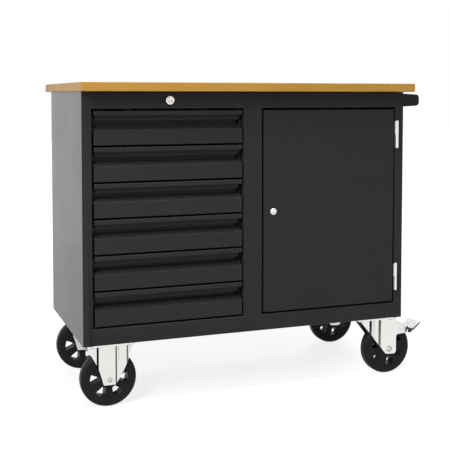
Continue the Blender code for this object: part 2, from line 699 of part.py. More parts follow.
def make_locking_bar():
    """A flat bar with a slotted head for the crank pin and a hook under each tray's catch."""
    x = DRAWERS_MIDDLE
    back = BAR_FACE + BAR_THICKNESS
    half = BAR_WIDTH / 2
    lowest_catch = front_low(DRAWER_COUNT - 1) + TRAY_RISE + TRAY_HEIGHT - CATCH_DROP
    lowest = lowest_catch - HOOK_GAP - BAR_LIFT - HOOK_ARM
    strip = box((x - half, BAR_FACE, lowest), (x + half, back, LOCK_HEIGHT))
    head = box(
        (x - BAR_LIFT / 2 - BAR_HEAD_HALF_WIDTH, BAR_FACE, LOCK_HEIGHT - BAR_HEAD_HALF_HEIGHT),
        (x - BAR_LIFT / 2 + BAR_HEAD_HALF_WIDTH, back, LOCK_HEIGHT + BAR_HEAD_HALF_HEIGHT - BAR_LIFT / 2))
    play = CRANK_PIN_RADIUS + CRANK_PIN_PLAY
    slot = box(
        (x - BAR_LIFT - play, BAR_FACE - CUT_OVERRUN, LOCK_HEIGHT - play),
        (x + play, back + CUT_OVERRUN, LOCK_HEIGHT + play))
    hooks = []
    tip_near = TRAY_BACK + HOOK_GAP + SHEET
    tip_far = tip_near + HOOK_TIP
    for index in range(DRAWER_COUNT):
        catch_low = front_low(index) + TRAY_RISE + TRAY_HEIGHT - CATCH_DROP
        arm_top = catch_low - HOOK_GAP - BAR_LIFT
        tip_top = catch_low - HOOK_GAP
        outline = [
            (BAR_FACE + BAR_THICKNESS / 2, arm_top - HOOK_ARM),
            (BAR_FACE + BAR_THICKNESS / 2, arm_top),
            (tip_far, arm_top),
            (tip_far, tip_top),
            (tip_near, tip_top),
            (tip_near, arm_top - HOOK_ARM),
        ]
        hooks.append(slab(outline, "YZ", x - half + SHEET, x + half - SHEET))
    bar = cut(union(strip, head, *hooks), slot)
    piece("locking_bar", bar, "bright_zinc", (x, BAR_FACE, LOCK_HEIGHT))

    guide_low = front_low(DRAWER_COUNT // 2) + FRONT_HEIGHT - GUIDE_HEIGHT / 2
    wall = SHEET
    inner_half = half + FIT_GAP
    path = [
        (x - inner_half - GUIDE_FOOT, INNER_BACK - wall / 2),
        (x - inner_half - wall / 2, INNER_BACK - wall / 2),
        (x - inner_half - wall / 2, BAR_FACE - FIT_GAP - wall / 2),
        (x + inner_half + wall / 2, BAR_FACE - FIT_GAP - wall / 2),
        (x + inner_half + wall / 2, INNER_BACK - wall / 2),
        (x + inner_half + GUIDE_FOOT, INNER_BACK - wall / 2),
    ]
    guide = slab(sheet_outline(path, wall), "XY", guide_low, guide_low + GUIDE_HEIGHT)
    piece("locking_bar_guide", guide, "bright_zinc")


# door

def make_door():
    hinge = (HINGE_X, HINGE_Y, (DOOR_LOW + DOOR_HIGH) / 2)
    lock_x = DOOR_LEFT + DOOR_LOCK_INSET
    lock_z = (DOOR_LOW + DOOR_HIGH) / 2
    outer = box((DOOR_LEFT, FRONT, DOOR_LOW), (DOOR_RIGHT, FRONT + DOOR_THICKNESS, DOOR_HIGH))
    inner = box(
        (DOOR_LEFT + SHEET, FRONT + SHEET, DOOR_LOW + SHEET),
        (DOOR_RIGHT - SHEET, FRONT + DOOR_THICKNESS + CUT_OVERRUN, DOOR_HIGH - SHEET))
    hole = rod(
        (lock_x, FRONT - CUT_OVERRUN, lock_z), (lock_x, FRONT + DOOR_THICKNESS, lock_z),
        DOOR_LOCK_BODY_RADIUS + FIT_GAP)
    piece("door", cut(outer, inner, hole), "black_paint", hinge)

    housing = lock_housing_mesh(
        lock_x, FRONT, lock_z, DOOR_LOCK_HEAD_RADIUS, DOOR_LOCK_BODY_RADIUS, DOOR_LOCK_PLUG_RADIUS)
    piece("door_lock_housing", housing, "nickel", (lock_x, FRONT, lock_z))
    cam_face = FOLD_DEPTH + HOOK_GAP
    plug = plug_mesh(lock_x, FRONT, lock_z, DOOR_LOCK_PLUG_RADIUS, cam_face + CAM_THICKNESS, "Z")
    cam = box(
        (lock_x - CAM_WIDTH / 2, FRONT + cam_face, lock_z - CAM_REACH),
        (lock_x + CAM_WIDTH / 2, FRONT + cam_face + CAM_THICKNESS + SHEET, lock_z + CAM_WIDTH / 2))
    piece("door_lock_plug", union(plug, cam), "nickel", (lock_x, FRONT, lock_z))


def knuckle_mesh(low, high, leaf_path):
    """Half a hinge barrel with its leaf, which is folded back into the gap beside the door."""
    bore = HINGE_PIN_RADIUS + FIT_GAP
    ring = turned(
        [(bore, 0), (HINGE_RADIUS, 0), (HINGE_RADIUS, high - low), (bore, high - low)],
        (HINGE_X, HINGE_Y, low), axis="Z")
    leaf = slab(sheet_outline(leaf_path, HINGE_LEAF), "XY", low + FIT_GAP, high - FIT_GAP)
    return union(ring, leaf)


def make_hinges():
    wall_middle = HINGE_PIN_RADIUS + (HINGE_RADIUS - HINGE_PIN_RADIUS) / 2
    door_leaf_x = DOOR_RIGHT + FIT_GAP + HINGE_LEAF / 2
    frame_leaf_x = DOOR_RIGHT + REVEAL - FIT_GAP - HINGE_LEAF / 2
    leaf_end = FRONT + HINGE_LEAF_DEPTH - HINGE_RADIUS
    door_leaf = [(HINGE_X - wall_middle, HINGE_Y), (door_leaf_x, HINGE_Y), (door_leaf_x, leaf_end)]
    frame_leaf = [(frame_leaf_x, HINGE_Y + HINGE_RADIUS / 2), (frame_leaf_x, leaf_end)]
    lows = {"upper": DOOR_HIGH - HINGE_END_INSET - HINGE_LENGTH, "lower": DOOR_LOW + HINGE_END_INSET}
    for place, low in lows.items():
        split = low + HINGE_LENGTH / 2
        high = low + HINGE_LENGTH
        axis = (HINGE_X, HINGE_Y, split)
        door_half = knuckle_mesh(split + FIT_GAP / 2, high, door_leaf)
        piece(f"hinge_{place}_door_half", door_half, "bright_zinc", axis)
        frame_half = knuckle_mesh(low, split - FIT_GAP / 2, frame_leaf)
        piece(f"hinge_{place}_frame_half", frame_half, "bright_zinc", axis)
        head = HINGE_RADIUS - FIT_GAP
        pin = union(
            rod((HINGE_X, HINGE_Y, low - SHEET / 2), (HINGE_X, HINGE_Y, high + SHEET / 2), HINGE_PIN_RADIUS),
            rod(
                (HINGE_X, HINGE_Y, high + FIT_GAP), (HINGE_X, HINGE_Y, high + FIT_GAP + HINGE_PIN_HEAD),
                head, end_radius=head - HINGE_PIN_HEAD),
            rod(
                (HINGE_X, HINGE_Y, low - FIT_GAP), (HINGE_X, HINGE_Y, low - FIT_GAP - HINGE_PIN_HEAD),
                head, end_radius=head - HINGE_PIN_HEAD))
        piece(f"hinge_{place}_pin", pin, "bright_zinc", axis)


# push handle

def rounded_end(x, high, low, radius, steps=4):
    """The two round corners at the outer end of a bracket, from its top to its bottom."""
    points = []
    for middle, start in (((x - radius, high - radius), pi / 2), ((x - radius, low + radius), 0)):
        for step in range(steps + 1):
            angle = start - pi / 2 * step / steps
            points.append((middle[0] + radius * cos(angle), middle[1] + radius * sin(angle)))
    return points


def make_handle():
    root = RIGHT + FIT_GAP
    top = CAB_TOP + FIT_GAP - HANDLE_TOP_GAP
    drop = (HANDLE_ROOT_HEIGHT - HANDLE_END_HEIGHT) / 2
    end_high = top - drop
    end_low = end_high - HANDLE_END_HEIGHT
    outline = [(root, top)]
    outline += rounded_end(RIGHT + HANDLE_REACH, end_high, end_low, HANDLE_CORNER_RADIUS)
    outline += [(root, top - HANDLE_ROOT_HEIGHT)]
    near = FRONT + HANDLE_FRONT_INSET
    far = BACK - HANDLE_FRONT_INSET
    near_inner = near + HANDLE_BRACKET_DEPTH
    far_inner = far - HANDLE_BRACKET_DEPTH
    piece("handle_bracket_front", slab(outline, "XZ", near, near_inner), "black_plastic")
    piece("handle_bracket_back", slab(outline, "XZ", far_inner, far), "black_plastic")
    bar_x = RIGHT + HANDLE_REACH - HANDLE_END_HEIGHT / 2
    bar_z = (end_high + end_low) / 2
    bar = rod((bar_x, near_inner + FIT_GAP, bar_z), (bar_x, far_inner - FIT_GAP, bar_z), HANDLE_BAR_RADIUS)
    piece("handle_bar", bar, "black_plastic")


# casters

def wheel_mesh(x, y):
    """A one-piece wheel: hub, web with windows, rim and tread."""
    half = WHEEL_WIDTH / 2
    hub_half = HUB_WIDTH / 2
    web_half = half * WHEEL_WEB_SHARE
    rim = WHEEL_RADIUS * RIM_INNER_SHARE
    bore = AXLE_RADIUS + FIT_GAP
    edge = half - web_half
    one_side = [
        (bore, hub_half),
        (HUB_RADIUS - edge / 2, hub_half),
        (HUB_RADIUS, web_half),
        (rim, web_half),
        (rim + edge / 2, half - edge / 3),
        (WHEEL_RADIUS - edge, half),
        (WHEEL_RADIUS - edge / 3, half - edge / 3),
        (WHEEL_RADIUS, half - edge),
    ]
    profile = one_side + [(radius, -along) for radius, along in reversed(one_side)]
    solid = turned(profile, (x, y, AXLE_HEIGHT), steps=WHEEL_STEPS)
    inner = WHEEL_RADIUS * WINDOW_INNER_SHARE
    outer = WHEEL_RADIUS * WINDOW_OUTER_SHARE
    windows = []
    for index in range(WINDOW_COUNT):
        middle = 2 * pi * index / WINDOW_COUNT
        corners = []
        neck = WINDOW_NECK_SHARE
        for radius, share in ((inner, -neck), (outer, -1), (outer, 0), (outer, 1), (inner, neck)):
            angle = middle + share * WINDOW_HALF_ANGLE
            corners.append((x + radius * cos(angle), AXLE_HEIGHT + radius * sin(angle)))
        windows.append(slab(corners, "XZ", y - half, y + half))
    return cut(solid, *windows)


def axle_mesh(x, y):
    """An axle bolt with its hexagon head and nut outside the fork legs."""
    outside = FORK_HALF_OUTER + CHANNEL_RIB + FIT_GAP
    reach = outside + AXLE_HEAD_HEIGHT
    shaft = rod((x, y - reach, AXLE_HEIGHT), (x, y + reach, AXLE_HEIGHT), AXLE_RADIUS, steps=16)
    heads = []
    for way in (-1, 1):
        heads.append(rod(
            (x, y + way * outside, AXLE_HEIGHT), (x, y + way * (reach - SHEET), AXLE_HEIGHT),
            AXLE_HEAD_RADIUS, steps=6))
    return union(shaft, *heads)


def axle_hole(x, y):
    reach = FORK_HALF_OUTER + CHANNEL_RIB + CUT_OVERRUN
    return rod((x, y - reach, AXLE_HEIGHT), (x, y + reach, AXLE_HEIGHT), AXLE_RADIUS + FIT_GAP, steps=16)


def at_axle(shares, x):
    """Outline points, in wheel radii from an axle at x."""
    return [(x + across * WHEEL_RADIUS, AXLE_HEIGHT + up * WHEEL_RADIUS) for across, up in shares]


def plate_mesh(x, y):
    """The mounting plate of a caster."""
    return box(
        (x - PLATE_LENGTH / 2, y - PLATE_WIDTH / 2, PLATE_LOW),
        (x + PLATE_LENGTH / 2, y + PLATE_WIDTH / 2, PLATE_TOP))


def ribs(x_low, x_high, foot, top, y):
    """The pressed channel that stands proud of each fork leg."""
    meshes = []
    for way in (-1, 1):
        inner = y + way * (FORK_HALF_OUTER - FORK_SHEET / 2)
        outer = y + way * (FORK_HALF_OUTER + CHANNEL_RIB)
        faces = sorted((inner, outer))
        meshes.append(box((x_low, faces[0], foot), (x_high, faces[1], top)))
    return meshes


def fixed_bracket_mesh(x, y):
    """A plate with two tapered legs."""
    plate = plate_mesh(x, y)
    half_left = FIXED_LEG_SHARES[-1][0] * WHEEL_RADIUS
    half_right = FIXED_LEG_SHARES[0][0] * WHEEL_RADIUS
    plate_skin = PLATE_LOW + PLATE_THICKNESS / 2
    outline = [(x + half_right - FIT_GAP, plate_skin)] + at_axle(FIXED_LEG_SHARES, x)
    outline += [(x + half_left + FIT_GAP, plate_skin)]
    near = slab(outline, "XZ", y - FORK_HALF_OUTER, y - FORK_HALF_INNER)
    far = slab(outline, "XZ", y + FORK_HALF_INNER, y + FORK_HALF_OUTER)
    foot = AXLE_HEIGHT + min(up for across, up in FIXED_LEG_SHARES) * WHEEL_RADIUS + FIT_GAP
    channels = ribs(x - CHANNEL_RIB_HALF_WIDTH, x + CHANNEL_RIB_HALF_WIDTH, foot, plate_skin, y)
    return cut(union(plate, near, far, *channels), axle_hole(x, y))


def swivel_plate_mesh(x, y):
    """The mounting plate, its ball race and the kingpin that holds the fork."""
    plate = plate_mesh(x, y)
    race = rod((x, y, CROWN_TOP + FIT_GAP), (x, y, PLATE_LOW + PLATE_THICKNESS / 2), RACE_RADIUS)
    pin = rod((x, y, CROWN_LOW - KINGPIN_NUT_HEIGHT), (x, y, PLATE_LOW), KINGPIN_RADIUS)
    nut = rod(
        (x, y, CROWN_LOW - FIT_GAP - KINGPIN_NUT_HEIGHT), (x, y, CROWN_LOW - FIT_GAP),
        KINGPIN_NUT_RADIUS, steps=6)
    return union(plate, race, pin, nut)


def swivel_fork_mesh(kingpin, x, y):
    """Two legs and a rounded rear housing in one strip, hung from the crown."""
    side = FORK_HALF_INNER + FORK_SHEET / 2
    end = x + HOUSING_END_SHARE * WHEEL_RADIUS
    bend = end - FORK_HALF_OUTER
    start = kingpin - CROWN_REACH
    path = [(start, y - side)]
    steps = ROUND_STEPS // 2
    for step in range(steps + 1):
        angle = -pi / 2 + pi * step / steps
        path.append((bend + side * cos(angle), y + side * sin(angle)))
    path.append((start, y + side))
    foot = AXLE_HEIGHT - WHEEL_RADIUS / 2
    strip = slab(sheet_outline(path, FORK_SHEET), "XY", foot, CROWN_TOP)

    profile = [(start, CROWN_TOP + CUT_OVERRUN), (start, CROWN_LOW)]
    profile += at_axle(SWIVEL_FOOT_SHARES, x)
    profile += [
        (x + HOUSING_TOP_SHARES[0][0] * WHEEL_RADIUS, AXLE_HEIGHT + HOUSING_LOW_SHARE * WHEEL_RADIUS)]
    profile += at_axle(HOUSING_TOP_SHARES, x)
    profile += [(x + HOUSING_TOP_SHARES[-1][0] * WHEEL_RADIUS, CROWN_TOP + CUT_OVERRUN)]
    wide = FORK_HALF_OUTER + CUT_OVERRUN
    body = common(strip, slab(profile, "XZ", y - wide, y + wide))

    crown_end = x + SWIVEL_RIB_SHARES[1] * WHEEL_RADIUS - FIT_GAP
    crown = box(
        (start + FIT_GAP, y - side, CROWN_LOW), (crown_end, y + side, CROWN_TOP - FIT_GAP / 2))
    rib_low = x + SWIVEL_RIB_SHARES[0] * WHEEL_RADIUS
    rib_high = x + SWIVEL_RIB_SHARES[1] * WHEEL_RADIUS - FIT_GAP
    rib_foot = AXLE_HEIGHT - SHEET
    channels = ribs(rib_low, rib_high, rib_foot, CROWN_LOW, y)

    notch_half = PEDAL_ARM_WIDTH / 2 + PEDAL_PLAY
    notch = box(
        (bend, y - notch_half, AXLE_HEIGHT + NOTCH_SHARE * WHEEL_RADIUS),
        (end + CUT_OVERRUN, y + notch_half, CROWN_TOP))
    pivot_x, pivot_z = at_axle([PEDAL_PIVOT_SHARES], x)[0]
    pivot = rod(
        (pivot_x, y - wide, pivot_z), (pivot_x, y + wide, pivot_z), PEDAL_PIN_RADIUS + FIT_GAP, steps=16)
    king_hole = rod(
        (kingpin, y, CROWN_LOW - CUT_OVERRUN), (kingpin, y, CROWN_TOP + CUT_OVERRUN),
        KINGPIN_RADIUS + FIT_GAP)
    return cut(union(body, crown, *channels), axle_hole(x, y), notch, pivot, king_hole)


def pedal_mesh(x, y):
    """The brake pedal: tread and body outside the housing, an arm in its notch, and a pivot pin."""
    arm_half = PEDAL_ARM_WIDTH / 2
    pad_half = PEDAL_WIDTH / 2
    arm = slab(at_axle(PEDAL_ARM_SHARES, x), "XZ", y - arm_half, y + arm_half)
    pad = slab(at_axle(PEDAL_PAD_SHARES, x), "XZ", y - pad_half, y + pad_half)
    body = slab(at_axle(PEDAL_BODY_SHARES, x), "XZ", y - pad_half + FIT_GAP, y + pad_half - FIT_GAP)
    bend = x + HOUSING_END_SHARE * WHEEL_RADIUS - FORK_HALF_OUTER
    round_end = rod(
        (bend, y, AXLE_HEIGHT), (bend, y, CROWN_TOP), FORK_HALF_OUTER + PEDAL_HOUSING_GAP, steps=WHEEL_STEPS)
    body = cut(body, round_end)
    pivot_x, pivot_z = at_axle([PEDAL_PIVOT_SHARES], x)[0]
    reach = FORK_HALF_OUTER - FIT_GAP
    pin = rod((pivot_x, y - reach, pivot_z), (pivot_x, y + reach, pivot_z), PEDAL_PIN_RADIUS, steps=16)
    return union(arm, body, pad, pin)


def make_casters():
    back = (0, BACK_WHEEL_Y - FRONT_WHEEL_Y, 0)
    y = FRONT_WHEEL_Y
    axle_point = (FIXED_X, y, AXLE_HEIGHT)
    plate_point = (FIXED_X, y, PLATE_TOP)
    bracket = piece("fixed_bracket_front", fixed_bracket_mesh(FIXED_X, y), "bright_zinc", plate_point)
    axle = piece("fixed_axle_front", axle_mesh(FIXED_X, y), "bright_zinc", axle_point)
    wheel = piece("fixed_wheel_front", wheel_mesh(FIXED_X, y), "black_rubber", axle_point)
    copied(bracket, "fixed_bracket_back", back)
    copied(axle, "fixed_axle_back", back)
    copied(wheel, "fixed_wheel_back", back)

    kingpin = (KINGPIN_X, y, CROWN_TOP)
    pivot_x, pivot_z = at_axle([PEDAL_PIVOT_SHARES], SWIVEL_AXLE_X)[0]
    items = [
        piece("swivel_plate_front", swivel_plate_mesh(KINGPIN_X, y), "bright_zinc", kingpin),
        piece("swivel_fork_front", swivel_fork_mesh(KINGPIN_X, SWIVEL_AXLE_X, y), "bright_zinc", kingpin),
        copied(axle, "swivel_axle_front", (SWIVEL_AXLE_X - FIXED_X, 0, 0)),
        copied(wheel, "swivel_wheel_front", (SWIVEL_AXLE_X - FIXED_X, 0, 0)),
        piece("brake_pedal_front", pedal_mesh(SWIVEL_AXLE_X, y), "bright_zinc", (pivot_x, y, pivot_z)),
    ]
    for item in items:
        copied(item, item.name.replace("_front", "_back"), back)


make_side_panels()
make_rails()
make_inner_panels()
make_divider()
make_shelf()
make_base_channels()
make_worktop()
make_drawers()
make_runner_frames()
make_drawer_lock()
make_locking_bar()
make_door()
make_hinges()
make_handle()
make_casters()
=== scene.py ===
from math import cos, pi, radians, sin

import bmesh
import bpy
from mathutils import Matrix, Vector


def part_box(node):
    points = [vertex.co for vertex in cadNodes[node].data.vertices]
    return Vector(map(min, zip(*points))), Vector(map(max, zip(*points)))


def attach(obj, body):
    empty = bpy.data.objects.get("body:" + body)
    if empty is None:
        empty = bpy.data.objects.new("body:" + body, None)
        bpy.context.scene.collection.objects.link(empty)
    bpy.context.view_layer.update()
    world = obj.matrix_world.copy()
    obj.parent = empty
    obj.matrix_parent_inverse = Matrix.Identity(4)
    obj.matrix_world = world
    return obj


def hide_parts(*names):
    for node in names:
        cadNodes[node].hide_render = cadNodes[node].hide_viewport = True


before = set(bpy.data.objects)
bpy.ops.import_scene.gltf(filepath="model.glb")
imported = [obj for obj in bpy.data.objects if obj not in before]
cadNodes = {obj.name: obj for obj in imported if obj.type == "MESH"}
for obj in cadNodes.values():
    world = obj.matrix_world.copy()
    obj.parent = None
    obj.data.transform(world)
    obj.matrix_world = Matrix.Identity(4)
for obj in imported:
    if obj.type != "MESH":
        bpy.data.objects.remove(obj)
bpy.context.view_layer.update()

mm = 0.001
scene = bpy.context.scene
xAxis = Vector((1, 0, 0))
yAxis = Vector((0, 1, 0))
zAxis = Vector((0, 0, 1))
print("tool cart: frame loaded,", len(cadNodes), "nodes")


# nodes and colours

def hexColour(code):
    # an sRGB hex value as the linear colour that Blender's sockets take
    shares = [int(code[i:i + 2], 16) / 255 for i in (1, 3, 5)]
    linear = [s / 12.92 if s <= 0.04045 else ((s + 0.055) / 1.055) ** 2.4 for s in shares]
    return (*linear, 1)


def addNode(tree, kind, inputs=None, **settings):
    node = tree.nodes.new(kind)
    for key, value in settings.items():
        setattr(node, key, value)
    for key, value in (inputs or {}).items():
        if isinstance(value, bpy.types.NodeSocket):
            tree.links.new(value, node.inputs[key])
        else:
            node.inputs[key].default_value = value
    return node


def startMaterial(name, **values):
    # a Principled material with the piece's own coordinates, in metres
    material = bpy.data.materials.new(name)
    material.use_nodes = True
    tree = material.node_tree
    shader = tree.nodes["Principled BSDF"]
    for key, value in values.items():
        shader.inputs[key.replace("_", " ")].default_value = value
    return material, tree, shader, addNode(tree, "ShaderNodeTexCoord").outputs["Object"]


def finishShader(tree, shader, tone, gloss, bump=None):
    # colour, roughness and fine relief, where there is one
    tree.links.new(tone.outputs[2], shader.inputs["Base Color"])
    tree.links.new(gloss.outputs["Result"], shader.inputs["Roughness"])
    if bump:
        tree.links.new(bump.outputs["Normal"], shader.inputs["Normal"])


def blackPowderCoat():
    # polyester powder, sprayed on sheet steel and baked: near black, semi-gloss, a fine orange peel
    sizes = {"peel": 2.2 * mm, "cloud": 160 * mm}
    material, tree, shader, place = startMaterial("blackPowderCoat", Specular_IOR_Level=0.12)
    cloud = addNode(tree, "ShaderNodeTexNoise", {"Vector": place, "Scale": 1 / sizes["cloud"], "Detail": 4.0})
    tone = addNode(
        tree, "ShaderNodeMix", {0: cloud.outputs["Fac"], 6: hexColour("#252526"), 7: hexColour("#292929")},
        data_type="RGBA")
    peel = addNode(tree, "ShaderNodeTexNoise", {"Vector": place, "Scale": 1 / sizes["peel"], "Detail": 1.0})
    gloss = addNode(
        tree, "ShaderNodeMapRange", {"Value": cloud.outputs["Fac"], "To Min": 0.23, "To Max": 0.31})
    bump = addNode(
        tree, "ShaderNodeBump", {"Strength": 0.10, "Distance": 0.1 * mm, "Height": peel.outputs["Fac"]})
    finishShader(tree, shader, tone, gloss, bump)
    return material


def varnishedBeech():
    # beech staves glued side by side, sanded and varnished: honey brown, long fine grain, satin
    sizes = {"staveWidth": 43 * mm, "staveLength": 380 * mm, "glueLine": 0.5 * mm, "grain": 5 * mm,
             "run": 160 * mm}
    material, tree, shader, place = startMaterial("varnishedBeech", Specular_IOR_Level=0.25)
    staves = addNode(
        tree, "ShaderNodeTexBrick",
        {"Vector": place, "Color1": hexColour("#AA7F35"), "Color2": hexColour("#B1873D"),
         "Mortar": hexColour("#96692A"), "Scale": 1.0, "Mortar Size": sizes["glueLine"], "Mortar Smooth": 0.3,
         "Brick Width": sizes["staveLength"], "Row Height": sizes["staveWidth"]},
        offset=0.5, offset_frequency=2, squash=0.8, squash_frequency=3)
    grainPlace = addNode(
        tree, "ShaderNodeMapping",
        {"Vector": place, "Scale": (1 / sizes["run"], 1 / sizes["grain"], 1 / sizes["grain"])})
    # each stave's tone, times itself, moves its grain a little, so the grain breaks at the glue lines
    shifted = addNode(
        tree, "ShaderNodeVectorMath",
        {0: staves.outputs["Color"], 1: staves.outputs["Color"], 2: grainPlace.outputs["Vector"]},
        operation="MULTIPLY_ADD")
    grain = addNode(
        tree, "ShaderNodeTexNoise",
        {"Vector": shifted.outputs["Vector"], "Scale": 1.0, "Detail": 5.0, "Roughness": 0.6})
    depth = addNode(
        tree, "ShaderNodeMapRange", {"Value": grain.outputs["Fac"], "From Min": 0.35, "From Max": 0.7,
                                     "To Min": 0.0, "To Max": 0.32})
    tone = addNode(
        tree, "ShaderNodeMix",
        {0: depth.outputs["Result"], 6: staves.outputs["Color"], 7: hexColour("#8E6326")}, data_type="RGBA")
    gloss = addNode(
        tree, "ShaderNodeMapRange", {"Value": grain.outputs["Fac"], "To Min": 0.42, "To Max": 0.55})
    bump = addNode(
        tree, "ShaderNodeBump", {"Strength": 0.12, "Distance": 0.1 * mm, "Height": grain.outputs["Fac"]})
    finishShader(tree, shader, tone, gloss, bump)
    return material


def platedMetal(name, low, high, roughLow, roughHigh, patch, lineWidth):
    # a plated metal skin: slow patches in the plating's haze over fine lines left by rolling or turning
    material, tree, shader, place = startMaterial(name, Metallic=1.0)
    lineLength = 20 * lineWidth
    patches = addNode(tree, "ShaderNodeTexNoise", {"Vector": place, "Scale": 1 / patch, "Detail": 3.0})
    tone = addNode(
        tree, "ShaderNodeMix", {0: patches.outputs["Fac"], 6: hexColour(low), 7: hexColour(high)},
        data_type="RGBA")
    linePlace = addNode(
        tree, "ShaderNodeMapping",
        {"Vector": place, "Scale": (1 / lineWidth, 1 / lineWidth, 1 / lineLength)})
    lines = addNode(
        tree, "ShaderNodeTexNoise", {"Vector": linePlace.outputs["Vector"], "Scale": 1.0, "Detail": 2.0})
    gloss = addNode(
        tree, "ShaderNodeMapRange",
        {"Value": patches.outputs["Fac"], "To Min": roughLow, "To Max": roughHigh})
    bump = addNode(
        tree, "ShaderNodeBump", {"Strength": 0.05, "Distance": 0.05 * mm, "Height": lines.outputs["Fac"]})
    finishShader(tree, shader, tone, gloss, bump)
    return material


def galvanisedSteel():
    # hot-dip galvanised strip: pale grey crystals about a centimetre across, each with its own gloss
    sizes = {"crystal": 9 * mm}
    material, tree, shader, place = startMaterial("galvanisedSteel", Metallic=1.0)
    crystals = addNode(
        tree, "ShaderNodeTexVoronoi", {"Vector": place, "Scale": 1 / sizes["crystal"], "Randomness": 1.0})
    value = addNode(tree, "ShaderNodeRGBToBW", {"Color": crystals.outputs["Color"]})
    tone = addNode(
        tree, "ShaderNodeMix", {0: value.outputs["Val"], 6: hexColour("#A9ABAC"), 7: hexColour("#C9CBCC")},
        data_type="RGBA")
    gloss = addNode(
        tree, "ShaderNodeMapRange", {"Value": value.outputs["Val"], "To Min": 0.30, "To Max": 0.48})
    finishShader(tree, shader, tone, gloss)
    return material


def paintedGrooveShade():
    # painted shade on the walls of a pressed groove: plain zinc where a wall is shallow, painted nearly black
    # where it is steep, in place of the groove's shadow
    steepness = {"bright": 0.38, "black": 0.80}
    sizes = {"patch": 6 * mm}
    material, tree, shader, place = startMaterial("paintedGrooveShade", Metallic=1.0)
    facing = addNode(tree, "ShaderNodeTexCoord").outputs["Normal"]
    parts = addNode(tree, "ShaderNodeSeparateXYZ", {"Vector": facing})
    steep = addNode(tree, "ShaderNodeMath", {0: parts.outputs["X"]}, operation="ABSOLUTE")
    share = addNode(
        tree, "ShaderNodeMapRange", {"Value": steep.outputs[0], "From Min": steepness["bright"],
                                     "From Max": steepness["black"]})
    patches = addNode(
        tree, "ShaderNodeTexNoise", {"Vector": place, "Scale": 1 / sizes["patch"], "Detail": 3.0})
    # the painted shade's own tone: near black, with slow patches
    deep = addNode(
        tree, "ShaderNodeMix", {0: patches.outputs["Fac"], 6: hexColour("#0E0E0E"), 7: hexColour("#181818")},
        data_type="RGBA")
    tone = addNode(
        tree, "ShaderNodeMix", {0: share.outputs["Result"], 6: hexColour("#DADAD7"), 7: deep.outputs[2]},
        data_type="RGBA")
    gloss = addNode(
        tree, "ShaderNodeMapRange", {"Value": patches.outputs["Fac"], "To Min": 0.40, "To Max": 0.55})
    finishShader(tree, shader, tone, gloss)
    return material


def mouldedBlack(name, dark, light, roughLow, roughHigh, grit, level):
    # a black moulded surface: a fine spark-eroded or rubbery grit, with slow changes of gloss
    sizes = {"cloud": 40 * mm}
    material, tree, shader, place = startMaterial(name, Specular_IOR_Level=level)
    cloud = addNode(tree, "ShaderNodeTexNoise", {"Vector": place, "Scale": 1 / sizes["cloud"], "Detail": 4.0})
    tone = addNode(
        tree, "ShaderNodeMix", {0: cloud.outputs["Fac"], 6: hexColour(dark), 7: hexColour(light)},
        data_type="RGBA")
    grain = addNode(tree, "ShaderNodeTexNoise", {"Vector": place, "Scale": 1 / grit, "Detail": 2.0})
    gloss = addNode(
        tree, "ShaderNodeMapRange", {"Value": cloud.outputs["Fac"], "To Min": roughLow, "To Max": roughHigh})
    bump = addNode(
        tree, "ShaderNodeBump", {"Strength": 0.2, "Distance": 0.1 * mm, "Height": grain.outputs["Fac"]})
    finishShader(tree, shader, tone, gloss, bump)
    return material


powderCoat = blackPowderCoat()
beech = varnishedBeech()
# pressed steel with bright electroplated zinc: a pale, slightly hazy mirror
brightZinc = platedMetal("brightZinc", "#DADAD7", "#E4E4E2", 0.24, 0.34, 70 * mm, 0.8 * mm)
# turned brass or zinc with nickel plating: a warm white mirror
nickelPlate = platedMetal("nickelPlate", "#E9E8E4", "#F2F1ED", 0.14, 0.22, 12 * mm, 0.5 * mm)
# zinc-plated fasteners with a grey passivation, duller than the pressings
greyZinc = platedMetal("greyZinc", "#A9ABA9", "#BEC0BE", 0.34, 0.46, 9 * mm, 0.6 * mm)
galvanised = galvanisedSteel()
# painted shade for the walls of the casters' pressed grooves
paintedShadeZinc = paintedGrooveShade()
# solid rubber tyre, moulded: charcoal black and matt, a little dusty
tyreRubber = mouldedBlack("tyreRubber", "#1D1D1D", "#232323", 0.40, 0.50, 0.9 * mm, 0.08)
# polypropylene wheel core, injection moulded: black with a low sheen
corePlastic = mouldedBlack("corePlastic", "#1D1D1D", "#222222", 0.36, 0.44, 0.7 * mm, 0.08)
# glass-filled nylon of the brake pedals
pedalPlastic = mouldedBlack("pedalPlastic", "#2C2C2D", "#343435", 0.42, 0.52, 0.8 * mm, 0.3)
# ABS end brackets and sleeve of the push handle, finely textured
handlePlastic = mouldedBlack("handlePlastic", "#1C1C1D", "#222223", 0.36, 0.46, 1.0 * mm, 0.12)
print("materials made")


# geometry node trees

def startTree(name, sockets):
    tree = bpy.data.node_groups.new(name, "GeometryNodeTree")
    tree.interface.new_socket(name="Geometry", in_out="OUTPUT", socket_type="NodeSocketGeometry")
    for label, kind in sockets:
        tree.interface.new_socket(name=label, in_out="INPUT", socket_type="NodeSocket" + kind)
    entry = addNode(tree, "NodeGroupInput").outputs
    return tree, entry


def endTree(tree, geometry, material):
    real = addNode(tree, "GeometryNodeRealizeInstances", {"Geometry": geometry})
    painted = addNode(
        tree, "GeometryNodeSetMaterial", {"Geometry": real.outputs["Geometry"], "Material": material})
    addNode(tree, "NodeGroupOutput", {"Geometry": painted.outputs["Geometry"]})
    return tree


